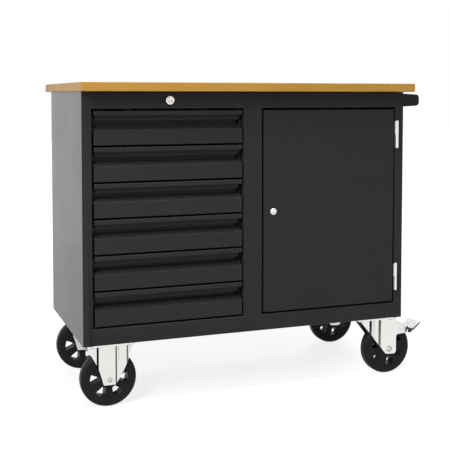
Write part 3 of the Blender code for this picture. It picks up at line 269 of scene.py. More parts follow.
def foldedSheetTree():
    # a bent line of sheet metal: its corners are rounded, and it is drawn out along the run
    tree, entry = startTree(
        "foldedSheet",
        [("Line", "Geometry"), ("Bend Radius", "Float"), ("Bend Steps", "Int"), ("Run", "Vector"),
         ("Material", "Material")])
    line = addNode(tree, "GeometryNodeMeshToCurve", {"Mesh": entry["Line"]})
    bent = addNode(
        tree, "GeometryNodeFilletCurve",
        {"Curve": line.outputs["Curve"], "Radius": entry["Bend Radius"], "Limit Radius": True}, mode="POLY")
    tree.links.new(entry["Bend Steps"], bent.inputs["Count"])
    edge = addNode(tree, "GeometryNodeCurveToMesh", {"Curve": bent.outputs["Curve"]})
    sheet = addNode(
        tree, "GeometryNodeExtrudeMesh", {"Mesh": edge.outputs["Mesh"], "Offset": entry["Run"]}, mode="EDGES")
    return endTree(tree, sheet.outputs["Mesh"], entry["Material"])


def fastenerTree():
    # a washer and a head with a recess, on every point, standing along the point's facing
    shape = {"washerSides": 32, "headTaper": 0.86}
    tree, entry = startTree(
        "fasteners",
        [("Points", "Geometry"), ("Sides", "Int"), ("Head Radius", "Float"), ("Head Height", "Float"),
         ("Washer Radius", "Float"), ("Washer Height", "Float"), ("Recess Radius", "Float"),
         ("Recess Depth", "Float"), ("Recess Sides", "Int"), ("Material", "Material")])
    washer = addNode(
        tree, "GeometryNodeMeshCylinder",
        {"Vertices": shape["washerSides"], "Radius": entry["Washer Radius"], "Depth": entry["Washer Height"]})
    topRadius = addNode(
        tree, "ShaderNodeMath", {0: entry["Head Radius"], 1: shape["headTaper"]}, operation="MULTIPLY")
    head = addNode(
        tree, "GeometryNodeMeshCone",
        {"Vertices": entry["Sides"], "Radius Top": topRadius.outputs[0],
         "Radius Bottom": entry["Head Radius"], "Depth": entry["Head Height"]})
    socketRoom = addNode(
        tree, "ShaderNodeMath", {0: entry["Head Height"], 1: entry["Recess Depth"]}, operation="SUBTRACT")
    socketPlace = addNode(tree, "ShaderNodeCombineXYZ", {"Z": socketRoom.outputs[0]})
    recess = addNode(
        tree, "GeometryNodeMeshCone",
        {"Vertices": entry["Recess Sides"], "Radius Top": entry["Recess Radius"],
         "Radius Bottom": entry["Recess Radius"], "Depth": entry["Head Height"]})
    recessHere = addNode(
        tree, "GeometryNodeTransform",
        {"Geometry": recess.outputs["Mesh"], "Translation": socketPlace.outputs["Vector"]})
    cutHead = addNode(
        tree, "GeometryNodeMeshBoolean",
        {"Mesh 1": head.outputs["Mesh"], "Mesh 2": recessHere.outputs["Geometry"]},
        operation="DIFFERENCE", solver="EXACT")
    both = addNode(tree, "GeometryNodeJoinGeometry")
    tree.links.new(washer.outputs["Mesh"], both.inputs[0])
    tree.links.new(cutHead.outputs["Mesh"], both.inputs[0])
    facing = addNode(
        tree, "GeometryNodeInputNamedAttribute", {"Name": "facing"}, data_type="FLOAT_VECTOR")
    turn = addNode(
        tree, "FunctionNodeAlignRotationToVector", {"Vector": facing.outputs["Attribute"]}, axis="Z")
    stood = addNode(
        tree, "GeometryNodeInstanceOnPoints",
        {"Points": entry["Points"], "Instance": both.outputs["Geometry"],
         "Rotation": turn.outputs["Rotation"]})
    return endTree(tree, stood.outputs["Instances"], entry["Material"])


def wheelCoreTree():
    # the wheel's core with its windows cut out, one cutter turned about the axle for each
    tree, entry = startTree(
        "wheelCore",
        [("Core", "Geometry"), ("Cutter", "Object"), ("Window Count", "Int"), ("Material", "Material")])
    points = addNode(
        tree, "GeometryNodeMeshLine", {"Count": entry["Window Count"], "Offset": (0, 0, 0)}, mode="OFFSET")
    index = addNode(tree, "GeometryNodeInputIndex")
    share = addNode(
        tree, "ShaderNodeMath", {0: index.outputs["Index"], 1: entry["Window Count"]}, operation="DIVIDE")
    angle = addNode(tree, "ShaderNodeMath", {0: share.outputs[0], 1: 2 * pi}, operation="MULTIPLY")
    turn = addNode(
        tree, "FunctionNodeAxisAngleToRotation", {"Axis": (0, 1, 0), "Angle": angle.outputs[0]})
    cutter = addNode(tree, "GeometryNodeObjectInfo", {"Object": entry["Cutter"]})
    cutters = addNode(
        tree, "GeometryNodeInstanceOnPoints",
        {"Points": points.outputs["Mesh"], "Instance": cutter.outputs["Geometry"],
         "Rotation": turn.outputs["Rotation"]})
    real = addNode(tree, "GeometryNodeRealizeInstances", {"Geometry": cutters.outputs["Instances"]})
    cut = addNode(
        tree, "GeometryNodeMeshBoolean", {"Mesh 1": entry["Core"], "Mesh 2": real.outputs["Geometry"]},
        operation="DIFFERENCE", solver="EXACT")
    return endTree(tree, cut.outputs["Mesh"], entry["Material"])


trees = {"foldedSheet": foldedSheetTree(), "fasteners": fastenerTree(), "wheelCore": wheelCoreTree()}


# meshes

mergeReach = 0.01 * mm  # corners closer than this are one


def placed(name, data):
    thing = bpy.data.objects.new(name, data)
    scene.collection.objects.link(thing)
    return thing


def plainMesh(name, points, edges=(), faces=()):
    mesh = bpy.data.meshes.new(name)
    mesh.from_pydata([tuple(point) for point in points], edges, faces)
    return mesh


def centreOf(node):
    low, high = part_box(node)
    return (low + high) / 2


def cornersOf(low, high):
    # the four corners of a box, seen from above
    return [(low.x, low.y), (high.x, low.y), (high.x, high.y), (low.x, high.y)]


def shaped(mesh, *steps):
    # the mesh after some modifiers; each step is a modifier's kind and its settings
    holder = placed("holder", mesh)
    for kind, settings in steps:
        step = holder.modifiers.new("step", kind)
        for key, value in settings.items():
            if key == "inputs":
                for socket in step.node_group.interface.items_tree:
                    if socket.name in value:
                        step[socket.identifier] = value[socket.name]
            else:
                setattr(step, key, value)
    result = bpy.data.meshes.new_from_object(holder.evaluated_get(bpy.context.evaluated_depsgraph_get()))
    bpy.data.objects.remove(holder, do_unlink=True)
    return result


def joined(mesh, operation, *others):
    # the mesh with the others added to it, cut out of it or kept in common with it
    tools = [placed("tool", other) for other in others]
    steps = [("BOOLEAN", {"operation": operation, "solver": "EXACT", "object": tool}) for tool in tools]
    result = shaped(mesh, *steps)
    for tool in tools:
        bpy.data.objects.remove(tool, do_unlink=True)
    return result


def rounded(mesh, width, segments=2, angle=35):
    return shaped(mesh, ("BEVEL", {
        "width": width, "segments": segments, "limit_method": "ANGLE", "angle_limit": radians(angle),
        "use_clamp_overlap": True, "miter_outer": "MITER_ARC"}))


def takenFrom(bm):
    mesh = bpy.data.meshes.new("shape")
    bm.to_mesh(mesh)
    bm.free()
    return mesh


def meshFrom(bm):
    bmesh.ops.remove_doubles(bm, verts=bm.verts, dist=mergeReach)
    bmesh.ops.recalc_face_normals(bm, faces=bm.faces)
    return takenFrom(bm)


def block(low, high):
    bm = bmesh.new()
    bmesh.ops.create_cube(bm, size=1)
    size = Vector(high) - Vector(low)
    bmesh.ops.scale(bm, vec=size, verts=bm.verts)
    bmesh.ops.translate(bm, vec=(Vector(high) + Vector(low)) / 2, verts=bm.verts)
    return meshFrom(bm)


def prism(points, start, end, axis="Y"):
    # a flat outline in XZ drawn out along Y, or in XY along Z, or in YZ along X
    order = {
        "X": lambda a, b, along: (along, a, b),
        "Y": lambda a, b, along: (a, along, b),
        "Z": lambda a, b, along: (a, b, along),
    }[axis]
    bm = bmesh.new()
    near = [bm.verts.new(order(a, b, start)) for a, b in points]
    far = [bm.verts.new(order(a, b, end)) for a, b in points]
    bm.faces.new(near)
    bm.faces.new(far[::-1])
    for i in range(len(points)):
        j = (i + 1) % len(points)
        bm.faces.new((near[i], far[i], far[j], near[j]))
    return meshFrom(bm)


def turned(profile, centre, axis=yAxis, steps=72):
    # closed profile of (radius, along) points, turned about an axis
    bm = bmesh.new()
    side = zAxis if abs(axis.z) < 0.5 else xAxis
    other = axis.cross(side)
    rings = []
    for step in range(steps):
        angle = 2 * pi * step / steps
        out = side * cos(angle) + other * sin(angle)
        rings.append([bm.verts.new(Vector(centre) + out * r + axis * a) for r, a in profile])
    count = len(profile)
    for step in range(steps):
        here = rings[step]
        there = rings[(step + 1) % steps]
        for i in range(count):
            j = (i + 1) % count
            if profile[i][0] == 0 and profile[j][0] == 0:
                continue
            bm.faces.new((here[i], here[j], there[j], there[i]))
    return meshFrom(bm)


def softCorners(points, radius, steps=4, closed=True):
    # an outline with its corners rounded by a curve that touches both sides
    mostOfSide = 0.45  # so that two corners never meet on a short side
    out = []
    count = len(points)
    for i, point in enumerate(points):
        here = Vector(point)
        if not closed and i in (0, count - 1):
            out.append(tuple(here))
            continue
        before = Vector(points[i - 1]) - here
        after = Vector(points[(i + 1) % count]) - here
        reach = min(radius, before.length * mostOfSide, after.length * mostOfSide)
        a = here + before.normalized() * reach
        b = here + after.normalized() * reach
        for step in range(steps + 1):
            t = step / steps
            out.append(tuple(a * (1 - t) ** 2 + here * 2 * t * (1 - t) + b * t ** 2))
    return out


def foldedSheet(points, run, material, sheet=1.5 * mm, bend=1.9 * mm, steps=4):
    # a sheet of even thickness about its middle line, folded at each point
    line = plainMesh("line", points, [(i, i + 1) for i in range(len(points) - 1)])
    return shaped(
        line,
        ("NODES", {"node_group": trees["foldedSheet"], "inputs": {
            "Bend Radius": bend, "Bend Steps": steps, "Run": run, "Material": material}}),
        ("SOLIDIFY", {"thickness": sheet, "offset": 0, "use_even_offset": True, "use_quality_normals": True}))


def cadCopy(node):
    # the CAD piece's mesh with its triangles joined into whole faces again
    bm = bmesh.new()
    bm.from_mesh(cadNodes[node].data)
    bmesh.ops.remove_doubles(bm, verts=bm.verts, dist=mergeReach)
    bmesh.ops.dissolve_limit(
        bm, angle_limit=radians(1), use_dissolve_boundaries=False, verts=bm.verts, edges=bm.edges)
    return takenFrom(bm)


def settle(name, mesh, material, body, slotName, *stoodFor, grooves=()):
    # the finished piece: painted, shaded with its large faces flat, riding on its body
    smoothAngle = radians(32)
    mesh.materials.clear()
    mesh.materials.append(material)
    # the groove walls' faces get the painted shade material, their shadow painted in
    if grooves:
        mesh.materials.append(paintedShadeZinc)
        for face in mesh.polygons:
            if any(low < face.center.x < high for low, high in grooves) and abs(face.normal.z) < 0.5:
                face.material_index = 1
    mesh.shade_smooth()
    mesh.set_sharp_from_angle(angle=smoothAngle)
    mesh = shaped(mesh, ("WEIGHTED_NORMAL", {"mode": "FACE_AREA", "weight": 50, "keep_sharp": True}))
    mesh.name = name
    piece = placed(name, mesh)
    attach(piece, body)
    if stoodFor:
        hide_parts(*stoodFor)
    return piece


def fasten(name, spots, size, material, body, slotName):
    # screws or bolts at (point, facing) spots; size holds the tree's own inputs
    mesh = plainMesh("spots", [point for point, facing in spots])
    facings = mesh.attributes.new("facing", "FLOAT_VECTOR", "POINT")
    for i, (point, facing) in enumerate(spots):
        facings.data[i].vector = facing
    inputs = {**size, "Material": material}
    made = shaped(mesh, ("NODES", {"node_group": trees["fasteners"], "inputs": inputs}))
    return settle(name, made, material, body, slotName)


# carcass of folded sheet

carcass = {
    "sheet": 1.5 * mm, "bend": 2.2 * mm, "stile": 28 * mm, "fold": 25 * mm, "backFlange": 20 * mm,
    "channelWall": 2.5 * mm, "edge": 0.45 * mm, "weldReach": 3.5 * mm, "lockHoleShare": 0.8,
}
sideLow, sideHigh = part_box("side_panel_left")
cabLeft = sideLow.x
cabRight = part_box("side_panel_right")[1].x
cabFront = sideLow.y
cabBack = sideHigh.y
cabBase = sideLow.z
cabTop = sideHigh.z


def sidePanel(edge, way):
    half = carcass["sheet"] / 2
    path = [
        (edge + way * carcass["backFlange"], cabBack - half, cabBase),
        (edge + way * half, cabBack - half, cabBase),
        (edge + way * half, cabFront + half, cabBase),
        (edge + way * (carcass["stile"] - half), cabFront + half, cabBase),
        (edge + way * (carcass["stile"] - half), cabFront + carcass["fold"], cabBase),
    ]
    return foldedSheet(path, (0, 0, cabTop - cabBase), powderCoat, bend=carcass["bend"])


def rail(node):
    # a channel whose ends run onto the stiles, where the real one is welded and ground flush
    low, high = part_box(node)
    half = carcass["sheet"] / 2
    reach = carcass["weldReach"]
    path = [
        (low.x - reach, low.y + carcass["fold"], high.z - half),
        (low.x - reach, low.y + half, high.z - half),
        (low.x - reach, low.y + half, low.z + half),
        (low.x - reach, low.y + carcass["fold"], low.z + half),
    ]
    return foldedSheet(path, (high.x - low.x + 2 * reach, 0, 0), powderCoat, bend=carcass["bend"])


def mullion():
    # the divider's folded front edge, between the drawers and the door
    low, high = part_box("divider")
    half = carcass["sheet"] / 2
    reach = carcass["weldReach"]
    path = [
        (high.x - half, low.y + carcass["fold"], low.z - reach),
        (high.x - half, low.y + half, low.z - reach),
        (low.x + half, low.y + half, low.z - reach),
        (low.x + half, low.y + carcass["fold"], low.z - reach),
    ]
    front = foldedSheet(path, (0, 0, high.z - low.z + 2 * reach), powderCoat, bend=carcass["bend"])
    middle = (low.x + high.x) / 2
    web = block((middle - half, low.y + half, low.z), (middle + half, high.y, high.z))
    return front, web


def makeFrame():
    # side panels, rails and divider, welded and ground to one flush front
    shell = sidePanel(cabLeft, 1)
    others = [sidePanel(cabRight, -1), rail("top_rail"), rail("bottom_rail"), *mullion()]
    frameMesh = joined(shell, "UNION", *others)
    frameMesh = joined(frameMesh, "DIFFERENCE", lockHole("drawer_lock_housing", carcass["fold"] / 2))
    settle("weldedFrame", frameMesh, powderCoat, "cabinet", "cabinet_paint", "side_panel_left",
           "side_panel_right", "top_rail", "bottom_rail", "divider")


def makeShelf():
    low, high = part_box("cupboard_shelf")
    half = carcass["sheet"] / 2
    path = [
        (low.x, low.y + half, low.z),
        (low.x, low.y + half, high.z - half),
        (low.x, high.y - half, high.z - half),
        (low.x, high.y - half, low.z),
    ]
    mesh = foldedSheet(path, (high.x - low.x, 0, 0), powderCoat, bend=carcass["bend"])
    settle("cupboardShelf", mesh, powderCoat, "cabinet", "cabinet_paint", "cupboard_shelf")


def makeBaseChannel(name, node):
    low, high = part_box(node)
    wall = carcass["channelWall"]
    half = wall / 2
    path = [
        (low.x + half, low.y, high.z), (low.x + half, low.y, low.z + half),
        (high.x - half, low.y, low.z + half), (high.x - half, low.y, high.z),
    ]
    mesh = foldedSheet(path, (0, high.y - low.y, 0), powderCoat, sheet=wall, bend=2 * wall)
    settle(name, mesh, powderCoat, "cabinet", "cabinet_paint", node)


def lockHole(housing, depth):
    low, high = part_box(housing)
    middle = centreOf(housing)
    radius = (high.x - low.x) / 2 * carcass["lockHoleShare"]
    return turned(
        [(0, 0), (radius, 0), (radius, depth), (0, depth)], (middle.x, low.y, middle.z), steps=32)


makeFrame()
makeShelf()
makeBaseChannel("leftBaseChannel", "base_channel_left")
makeBaseChannel("rightBaseChannel", "base_channel_right")
for node, name in (("top_panel", "topPanel"), ("floor_panel", "floorPanel"), ("back_panel", "backPanel")):
    panel = rounded(cadCopy(node), carcass["edge"])
    settle(name, panel, powderCoat, "cabinet", "cabinet_paint", node)
print("carcass made")


# worktop

worktop = {"edgeRadius": 2.0 * mm, "cornerRadius": 3.0 * mm}


def makeWorktop():
    low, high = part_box("worktop")
    outline = softCorners(cornersOf(low, high), worktop["cornerRadius"])
    board = rounded(prism(outline, low.z, high.z, "Z"), worktop["edgeRadius"], segments=3, angle=60)
    settle("beechWorktop", board, beech, "cabinet", "worktop_wood", "worktop")


makeWorktop()


# drawers

drawer = {
    "count": 6, "sheet": 1.5 * mm, "bend": 1.7 * mm, "lip": 13.5 * mm, "hemSetback": 16 * mm,
    "hemDrop": 13.5 * mm, "hemInset": 6 * mm, "cap": 1.0 * mm, "pocket": 38 * mm, "ledgeDrop": 41.5 * mm,
    "ledgeDepth": 21 * mm, "slant": 10 * mm, "rearLip": 12 * mm, "trayEdge": 0.4 * mm,
    "runnerEdge": 0.25 * mm,
}


def makeDrawerFront(number):
    node = f"drawer_front_{number}"
    low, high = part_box(node)
    half = drawer["sheet"] / 2
    front = low.y
    hem = front + drawer["hemSetback"]
    ledge = front + drawer["ledgeDepth"]
    back = front + drawer["pocket"] - half
    lipLow = high.z - drawer["lip"]
    hemLow = lipLow - drawer["hemDrop"]
    ledgeHigh = high.z - drawer["ledgeDrop"]
    slantLow = ledgeHigh - drawer["slant"]
    profile = [
        (hem + half, hemLow), (hem + half, lipLow + half), (front + half, lipLow + half),
        (front + half, high.z - half), (back, high.z - half), (back, ledgeHigh - half),
        (ledge, ledgeHigh - half), (front + half, slantLow - half), (front + half, low.z + half),
        (back, low.z + half), (back, low.z + drawer["rearLip"]),
    ]
    path = [(low.x, y, z) for y, z in profile]
    mesh = foldedSheet(path, (high.x - low.x, 0, 0), powderCoat, bend=drawer["bend"])

    # the hem stops short of both ends, where flat caps close the grip
    near = hem - drawer["bend"]
    far = hem + 2 * drawer["sheet"]
    notchLow = lipLow - 2 * drawer["hemDrop"]
    over = drawer["sheet"]
    left = block((low.x - over, near, notchLow), (low.x + drawer["hemInset"], far, lipLow))
    right = block((high.x - drawer["hemInset"], near, notchLow), (high.x + over, far, lipLow))
    mesh = joined(mesh, "DIFFERENCE", left, right)
    capOutline = [
        (hem, high.z - half), (back, high.z - half), (back, low.z + half), (front + half, low.z + half),
        (front + half, slantLow), (ledge, ledgeHigh - half), (ledge, hemLow),
        (hem + drawer["sheet"], lipLow),
    ]
    caps = [prism(capOutline, x, x + drawer["cap"], "X") for x in (low.x, high.x - drawer["cap"])]
    mesh = joined(mesh, "UNION", *caps)
    settle(f"drawerFront{number}", mesh, powderCoat, f"drawer_{number}", "cabinet_paint", node)


for number in range(1, drawer["count"] + 1):
    makeDrawerFront(number)
    node = f"drawer_tray_{number}"
    tray = rounded(cadCopy(node), drawer["trayEdge"], segments=1)
    settle(f"drawerTray{number}", tray, powderCoat, f"drawer_{number}", "cabinet_paint", node)
for side in ("left", "right"):
    node = f"runner_frame_{side}"
    runner = rounded(cadCopy(node), drawer["runnerEdge"], segments=1)
    settle(f"{side}RunnerFrame", runner, galvanised, "cabinet", "zinc_plate", node)
print("drawers made")


# door with its inner stiffener

door = {
    "sheet": 1.5 * mm, "edge": 2.0 * mm, "holeDepthShare": 0.8, "ribSheet": 1 * mm, "ribSeat": 2.4 * mm,
    "ribWidth": 70 * mm, "ribDepth": 12 * mm, "ribFoot": 15 * mm, "ribInset": 40 * mm,
}


def makeDoor():
    # a pan open at the back: its outer edges are rounded before it gets its sheet's thickness
    low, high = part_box("door")
    bm = bmesh.new()
    bm.from_mesh(block(low, high))
    backFaces = [f for f in bm.faces if f.normal.y > 0.5]
    bmesh.ops.delete(bm, geom=backFaces, context="FACES_ONLY")
    creases = [e for e in bm.edges if not e.is_boundary]
    bmesh.ops.bevel(bm, geom=creases, offset=door["edge"], segments=4, profile=0.5, affect="EDGES")
    bmesh.ops.recalc_face_normals(bm, faces=bm.faces)
    if sum(f.calc_area() * f.normal.y for f in bm.faces) > 0:
        bmesh.ops.reverse_faces(bm, faces=bm.faces)
    pan = shaped(
        takenFrom(bm), ("SOLIDIFY", {"thickness": door["sheet"], "offset": -1, "use_even_offset": True}))
    hole = lockHole("door_lock_housing", door["holeDepthShare"] * (high.y - low.y))
    pan = joined(pan, "DIFFERENCE", hole)
    settle("cupboardDoor", pan, powderCoat, "door", "cabinet_paint", "door")

    middle = (low.x + high.x) / 2
    face = low.y + door["ribSeat"]
    deep = face + door["ribDepth"]
    half = door["ribWidth"] / 2
    start = low.z + door["ribInset"]
    rib = [
        (middle - half - door["ribFoot"], face, start), (middle - half, face, start),
        (middle - half + door["ribDepth"], deep, start), (middle + half - door["ribDepth"], deep, start),
        (middle + half, face, start), (middle + half + door["ribFoot"], face, start),
    ]
    hat = foldedSheet(rib, (0, 0, high.z - door["ribInset"] - start), powderCoat, sheet=door["ribSheet"])
    settle("doorStiffener", hat, powderCoat, "door", "cabinet_paint")


makeDoor()


# locks

lock = {
    "drawer": {"housing": "drawer_lock_housing", "plug": "drawer_lock_plug", "plugRadius": 8.0 * mm,
               "slot": "X", "bodyRadius": 10.5 * mm, "ringBody": "cabinet", "plugBody": "drawer_lock"},
    "door": {"housing": "door_lock_housing", "plug": "door_lock_plug", "plugRadius": 6.5 * mm,
             "slot": "Z", "bodyRadius": 8.5 * mm, "ringBody": "door", "plugBody": "door_lock"},
    "mouth": [(0, 0.5 * mm), (0.4 * mm, 0.1 * mm), (1.0 * mm, 0)],  # out from the bore, back from the face
    "headHeight": 3.5 * mm, "domeShare": 0.55, "domeSteps": 6, "gap": 0.3 * mm, "plugEdge": 0.6 * mm,
    "proud": 1.2 * mm, "slotLength": 9.5 * mm, "slotWidth": 2.2 * mm, "slotDepth": 3 * mm,
    "plugOverlap": 1 * mm, "barEdge": 0.25 * mm,
}


def makeLock(which):
    # a domed ring and a slotted plug in it, which keeps the solid's own shaft and cam behind the ring
    kind = lock[which]
    low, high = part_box(kind["housing"])
    centre = Vector(((low.x + high.x) / 2, low.y, (low.z + high.z) / 2))
    head = (high.x - low.x) / 2
    bore = kind["plugRadius"] + lock["gap"]
    tall = lock["headHeight"]
    dome = tall * lock["domeShare"]
    ring = [(bore + out, back) for out, back in lock["mouth"]]
    for step in range(lock["domeSteps"] + 1):
        angle = pi / 2 * step / lock["domeSteps"]
        ring.append((head - dome * (1 - sin(angle)), dome * (1 - cos(angle))))
    ring += [
        (head, tall - lock["gap"]), (kind["bodyRadius"], tall - lock["gap"]),
        (kind["bodyRadius"], high.y - low.y), (bore, high.y - low.y),
    ]
    settle(f"{which}LockHousing", turned(ring, centre), nickelPlate, kind["ringBody"], "lock_nickel",
           kind["housing"])

    plugLow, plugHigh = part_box(kind["plug"])
    radius = kind["plugRadius"]
    face = plugLow.y
    edge = lock["plugEdge"]
    barrel = [(0, 0), (radius - edge, 0), (radius, edge), (radius, high.y - face), (0, high.y - face)]
    plug = turned(barrel, (centre.x, face, centre.z))
    along = lock["slotLength"] / 2
    across = lock["slotWidth"] / 2
    halfX, halfZ = (along, across) if kind["slot"] == "X" else (across, along)
    slot = block(
        (centre.x - halfX, face - lock["proud"], centre.z - halfZ),
        (centre.x + halfX, face + lock["slotDepth"], centre.z + halfZ))
    plug = joined(plug, "DIFFERENCE", slot)
    rest = cadCopy(kind["plug"])
    behind = block(
        (plugLow.x - radius, high.y - lock["plugOverlap"], plugLow.z - radius),
        (plugHigh.x + radius, plugHigh.y + radius, plugHigh.z + radius))
    rest = joined(rest, "INTERSECT", behind)
    plug = joined(plug, "UNION", rest)
    settle(f"{which}LockPlug", plug, nickelPlate, kind["plugBody"], "lock_nickel", kind["plug"])


makeLock("drawer")
makeLock("door")
for node, name, body in (("locking_bar", "lockingBar", "locking_bar"),
                         ("locking_bar_guide", "lockingBarGuide", "cabinet")):
    bar = rounded(cadCopy(node), lock["barEdge"], segments=1)
    settle(name, bar, galvanised, body, "zinc_plate", node)


# hinges

hinge = {"edge": 0.3 * mm, "edgeAngle": 50}

for place in ("upper", "lower"):
    for half, tag, body in (("door_half", "DoorLeaf", "door"), ("frame_half", "FrameLeaf", "cabinet"),
                            ("pin", "Pin", "cabinet")):
        node = f"hinge_{place}_{half}"
        knuckle = rounded(cadCopy(node), hinge["edge"], angle=hinge["edgeAngle"])
        settle(f"{place}Hinge{tag}", knuckle, brightZinc, body, "zinc_plate", node)
print("door, locks and hinges made")


# push handle

handle = {"edge": 2.4 * mm, "barRadius": 16 * mm, "collar": 1.2 * mm, "collarWidth": 6 * mm}


def makeHandle():
    for end in ("front", "back"):
        node = f"handle_bracket_{end}"
        bracket = rounded(cadCopy(node), handle["edge"], segments=3, angle=40)
        settle(f"{end}HandleBracket", bracket, handlePlastic, "cabinet", "handle_plastic", node)
    low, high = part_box("handle_bar")
    centre = (low + high) / 2
    radius = handle["barRadius"]
    length = high.y - low.y
    collar = handle["collar"]
    width = handle["collarWidth"]
    profile = [
        (0, 0), (radius - collar, 0), (radius, collar), (radius, width), (radius - collar, width + collar),
        (radius - collar, length - width - collar), (radius, length - width), (radius, length - collar),
        (radius - collar, length), (0, length),
    ]
    bar = turned(profile, (centre.x, low.y, centre.z))
    settle("handleBar", bar, handlePlastic, "cabinet", "handle_plastic", "handle_bar")


makeHandle()


# casters

caster = {
    "wheelRadius": 80 * mm, "wheelWidth": 35 * mm, "rimRadius": 57 * mm, "flush": 0.4 * mm,
    "tyreLip": 1.6 * mm, "treadCorner": 6 * mm, "treadShoulder": 9.6 * mm, "tyreGap": 0.1 * mm,
    "hubWidth": 45 * mm, "hubRadius": 21 * mm, "hubSlope": 4 * mm, "coreCorner": 1.5 * mm,
    "windows": 6, "windowInner": 27.2 * mm, "windowOuter": 53.6 * mm, "windowHalfAngle": radians(17),
    "windowNeck": 0.6, "windowCrown": 1.02, "windowCorner": 3 * mm, "windowEdge": 0.5 * mm,
    "wheelSteps": 96, "swivelPhase": radians(20), "bore": 5.3 * mm, "sheet": 3.5 * mm,
    "legInner": 23.5 * mm, "legCorner": 4 * mm, "legEdge": 0.4 * mm, "legEdgeAngle": 50,
    "plate": 5 * mm, "plateCorner": 12 * mm, "overrun": 5 * mm,
}


def makeWheel(name, node, body, phase=0):
    centre = centreOf(node)
    radius = caster["wheelRadius"]
    half = caster["wheelWidth"] / 2
    rim = caster["rimRadius"]  # where the tyre meets the core
    flush = caster["flush"]
    corner = caster["treadCorner"]
    tyreSide = softCorners(
        [(rim, half - caster["tyreLip"]), (rim, half - flush), (rim + flush, half), (radius - corner, half),
         (radius - flush, half - corner), (radius, half - caster["treadShoulder"])],
        corner, steps=5, closed=False)
    tyre = tyreSide + [(r, -a) for r, a in reversed(tyreSide)]
    tyreMesh = turned(tyre, centre, steps=caster["wheelSteps"])
    settle(name + "Tyre", tyreMesh, tyreRubber, body, "wheel_rubber", node)

    hub = caster["hubWidth"] / 2
    hubRadius = caster["hubRadius"]
    gap = caster["tyreGap"]
    coreSide = softCorners(
        [(caster["bore"], hub), (hubRadius - caster["hubSlope"], hub), (hubRadius, half),
         (rim - gap - flush, half), (rim - gap, half - flush), (rim - gap, 0)],
        caster["coreCorner"], steps=3, closed=False)
    core = coreSide[:-1] + [(r, -a) for r, a in reversed(coreSide[:-1])]
    inner = caster["windowInner"]
    outer = caster["windowOuter"]
    swing = caster["windowHalfAngle"]
    neck = caster["windowNeck"] * swing
    crown = outer * caster["windowCrown"]
    corners = [(inner, -neck), (outer, -swing), (crown, 0), (outer, swing), (inner, neck)]
    window = softCorners([(r * cos(a), r * sin(a)) for r, a in corners], caster["windowCorner"])
    cutter = placed("windowCutter", prism(window, -2 * half, 2 * half))
    mesh = shaped(
        turned(core, (0, 0, 0), steps=caster["wheelSteps"]),
        ("NODES", {"node_group": trees["wheelCore"], "inputs": {
            "Cutter": cutter, "Window Count": caster["windows"], "Material": corePlastic}}))
    bpy.data.objects.remove(cutter, do_unlink=True)
    mesh = rounded(mesh, caster["windowEdge"], angle=40)
    mesh.transform(Matrix.Translation(centre) @ Matrix.Rotation(phase, 4, "Y"))
    settle(name + "Core", mesh, corePlastic, body, "wheel_rubber")


axleSizes = {
    "radius": 5 * mm, "chamfer": 0.8 * mm, "endReach": 5.5 * mm, "nutHeight": 4.3 * mm,
    "washerHeight": 2 * mm, "washerRim": 0.8 * mm, "socketShare": 0.6,
    "fixed": {"head": 6.4 * mm, "socket": 2.4 * mm}, "swivel": {"head": 8.4 * mm, "socket": 0.4 * mm},
}


def makeAxle(name, node, body, head, socket):
    centre = centreOf(node)
    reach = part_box(node)[1].y - centre.y
    radius = axleSizes["radius"]
    chamfer = axleSizes["chamfer"]
    shaft = [(0, -reach), (radius - chamfer, -reach), (radius, -reach + chamfer), (radius, reach - chamfer),
             (radius - chamfer, reach), (0, reach)]
    settle(name + "Shaft", turned(shaft, centre, steps=32), greyZinc, body, "zinc_plate", node)
    foot = reach - axleSizes["endReach"]
    spots = [(centre + way * foot * yAxis, way * yAxis) for way in (-1, 1)]
    size = {
        "Sides": 6, "Head Radius": head, "Head Height": axleSizes["nutHeight"],
        "Washer Radius": head + axleSizes["washerRim"], "Washer Height": axleSizes["washerHeight"],
        "Recess Radius": axleSizes["socketShare"] * head, "Recess Depth": socket, "Recess Sides": 24}
    fasten(name + "Nuts", spots, size, greyZinc, body, "zinc_plate")


def aroundAxle(shares, axle):
    # points given as shares of the wheel's radius, across and up from the axle
    radius = caster["wheelRadius"]
    return [(axle.x + across * radius, axle.z + up * radius) for across, up in shares]


def drilled(mesh, centre, reach):
    radius = caster["bore"]
    drill = turned([(0, -reach), (radius, -reach), (radius, reach), (0, reach)], centre, steps=32)
    return joined(mesh, "DIFFERENCE", drill)


# spans across the axle whose groove walls are given painted shade
def spansNear(sizes, x):
    return [(x + low * mm, x + high * mm) for low, high in sizes["grooves"]]


fixedLeg = {
    # across from the axle and out from the leg's flat face, in mm
    "outer": [(-66, 0), (-37, 0), (-35.1, -3.1), (-31.7, 3.1), (-30.6, 3.7), (-28.6, 3.5), (-19.5, 3.2),
              (-18, 3), (13, 3), (14.6, 3.3), (15.8, 2.6), (16.8, -0.6), (17.6, -1), (20.0, 1.4), (23, 1.3),
              (24.4, 0.8), (45, 0.8), (47.6, 1.1), (48.8, 0.4), (49.6, -1.6), (50.4, -1.8), (52.9, 0.6),
              (55.4, 0.9), (58, 0.6), (72, 0.6)],
    "inner": [(72, -3.5), (15.5, -3.5), (12, -0.6), (-28.5, -0.6), (-31, -3.5), (-66, -3.5)],
    "grooves": [(-37, -31.6), (15.9, 21), (24.3, 26.3), (48.9, 53.2)],
    "outline": [(0.86, 1.3), (0.86, 1.21), (0.685, 0.75), (0.66, 0.61), (0.43, 0.15), (0.265, -0.11),
                (0.22, -0.18), (-0.22, -0.18), (-0.24, -0.11), (-0.36, 0.30), (-0.46, 0.55), (-0.65, 0.90),
                (-0.76, 0.96), (-0.78, 1.21), (-0.78, 1.3)],
    "slitLeft": 24.4 * mm, "slitRight": 26.1 * mm, "slitFace": 0.8 * mm, "slitDepth": 1.4 * mm,
    "slitFoot": 58 * mm, "intoPlate": 3 * mm,
}


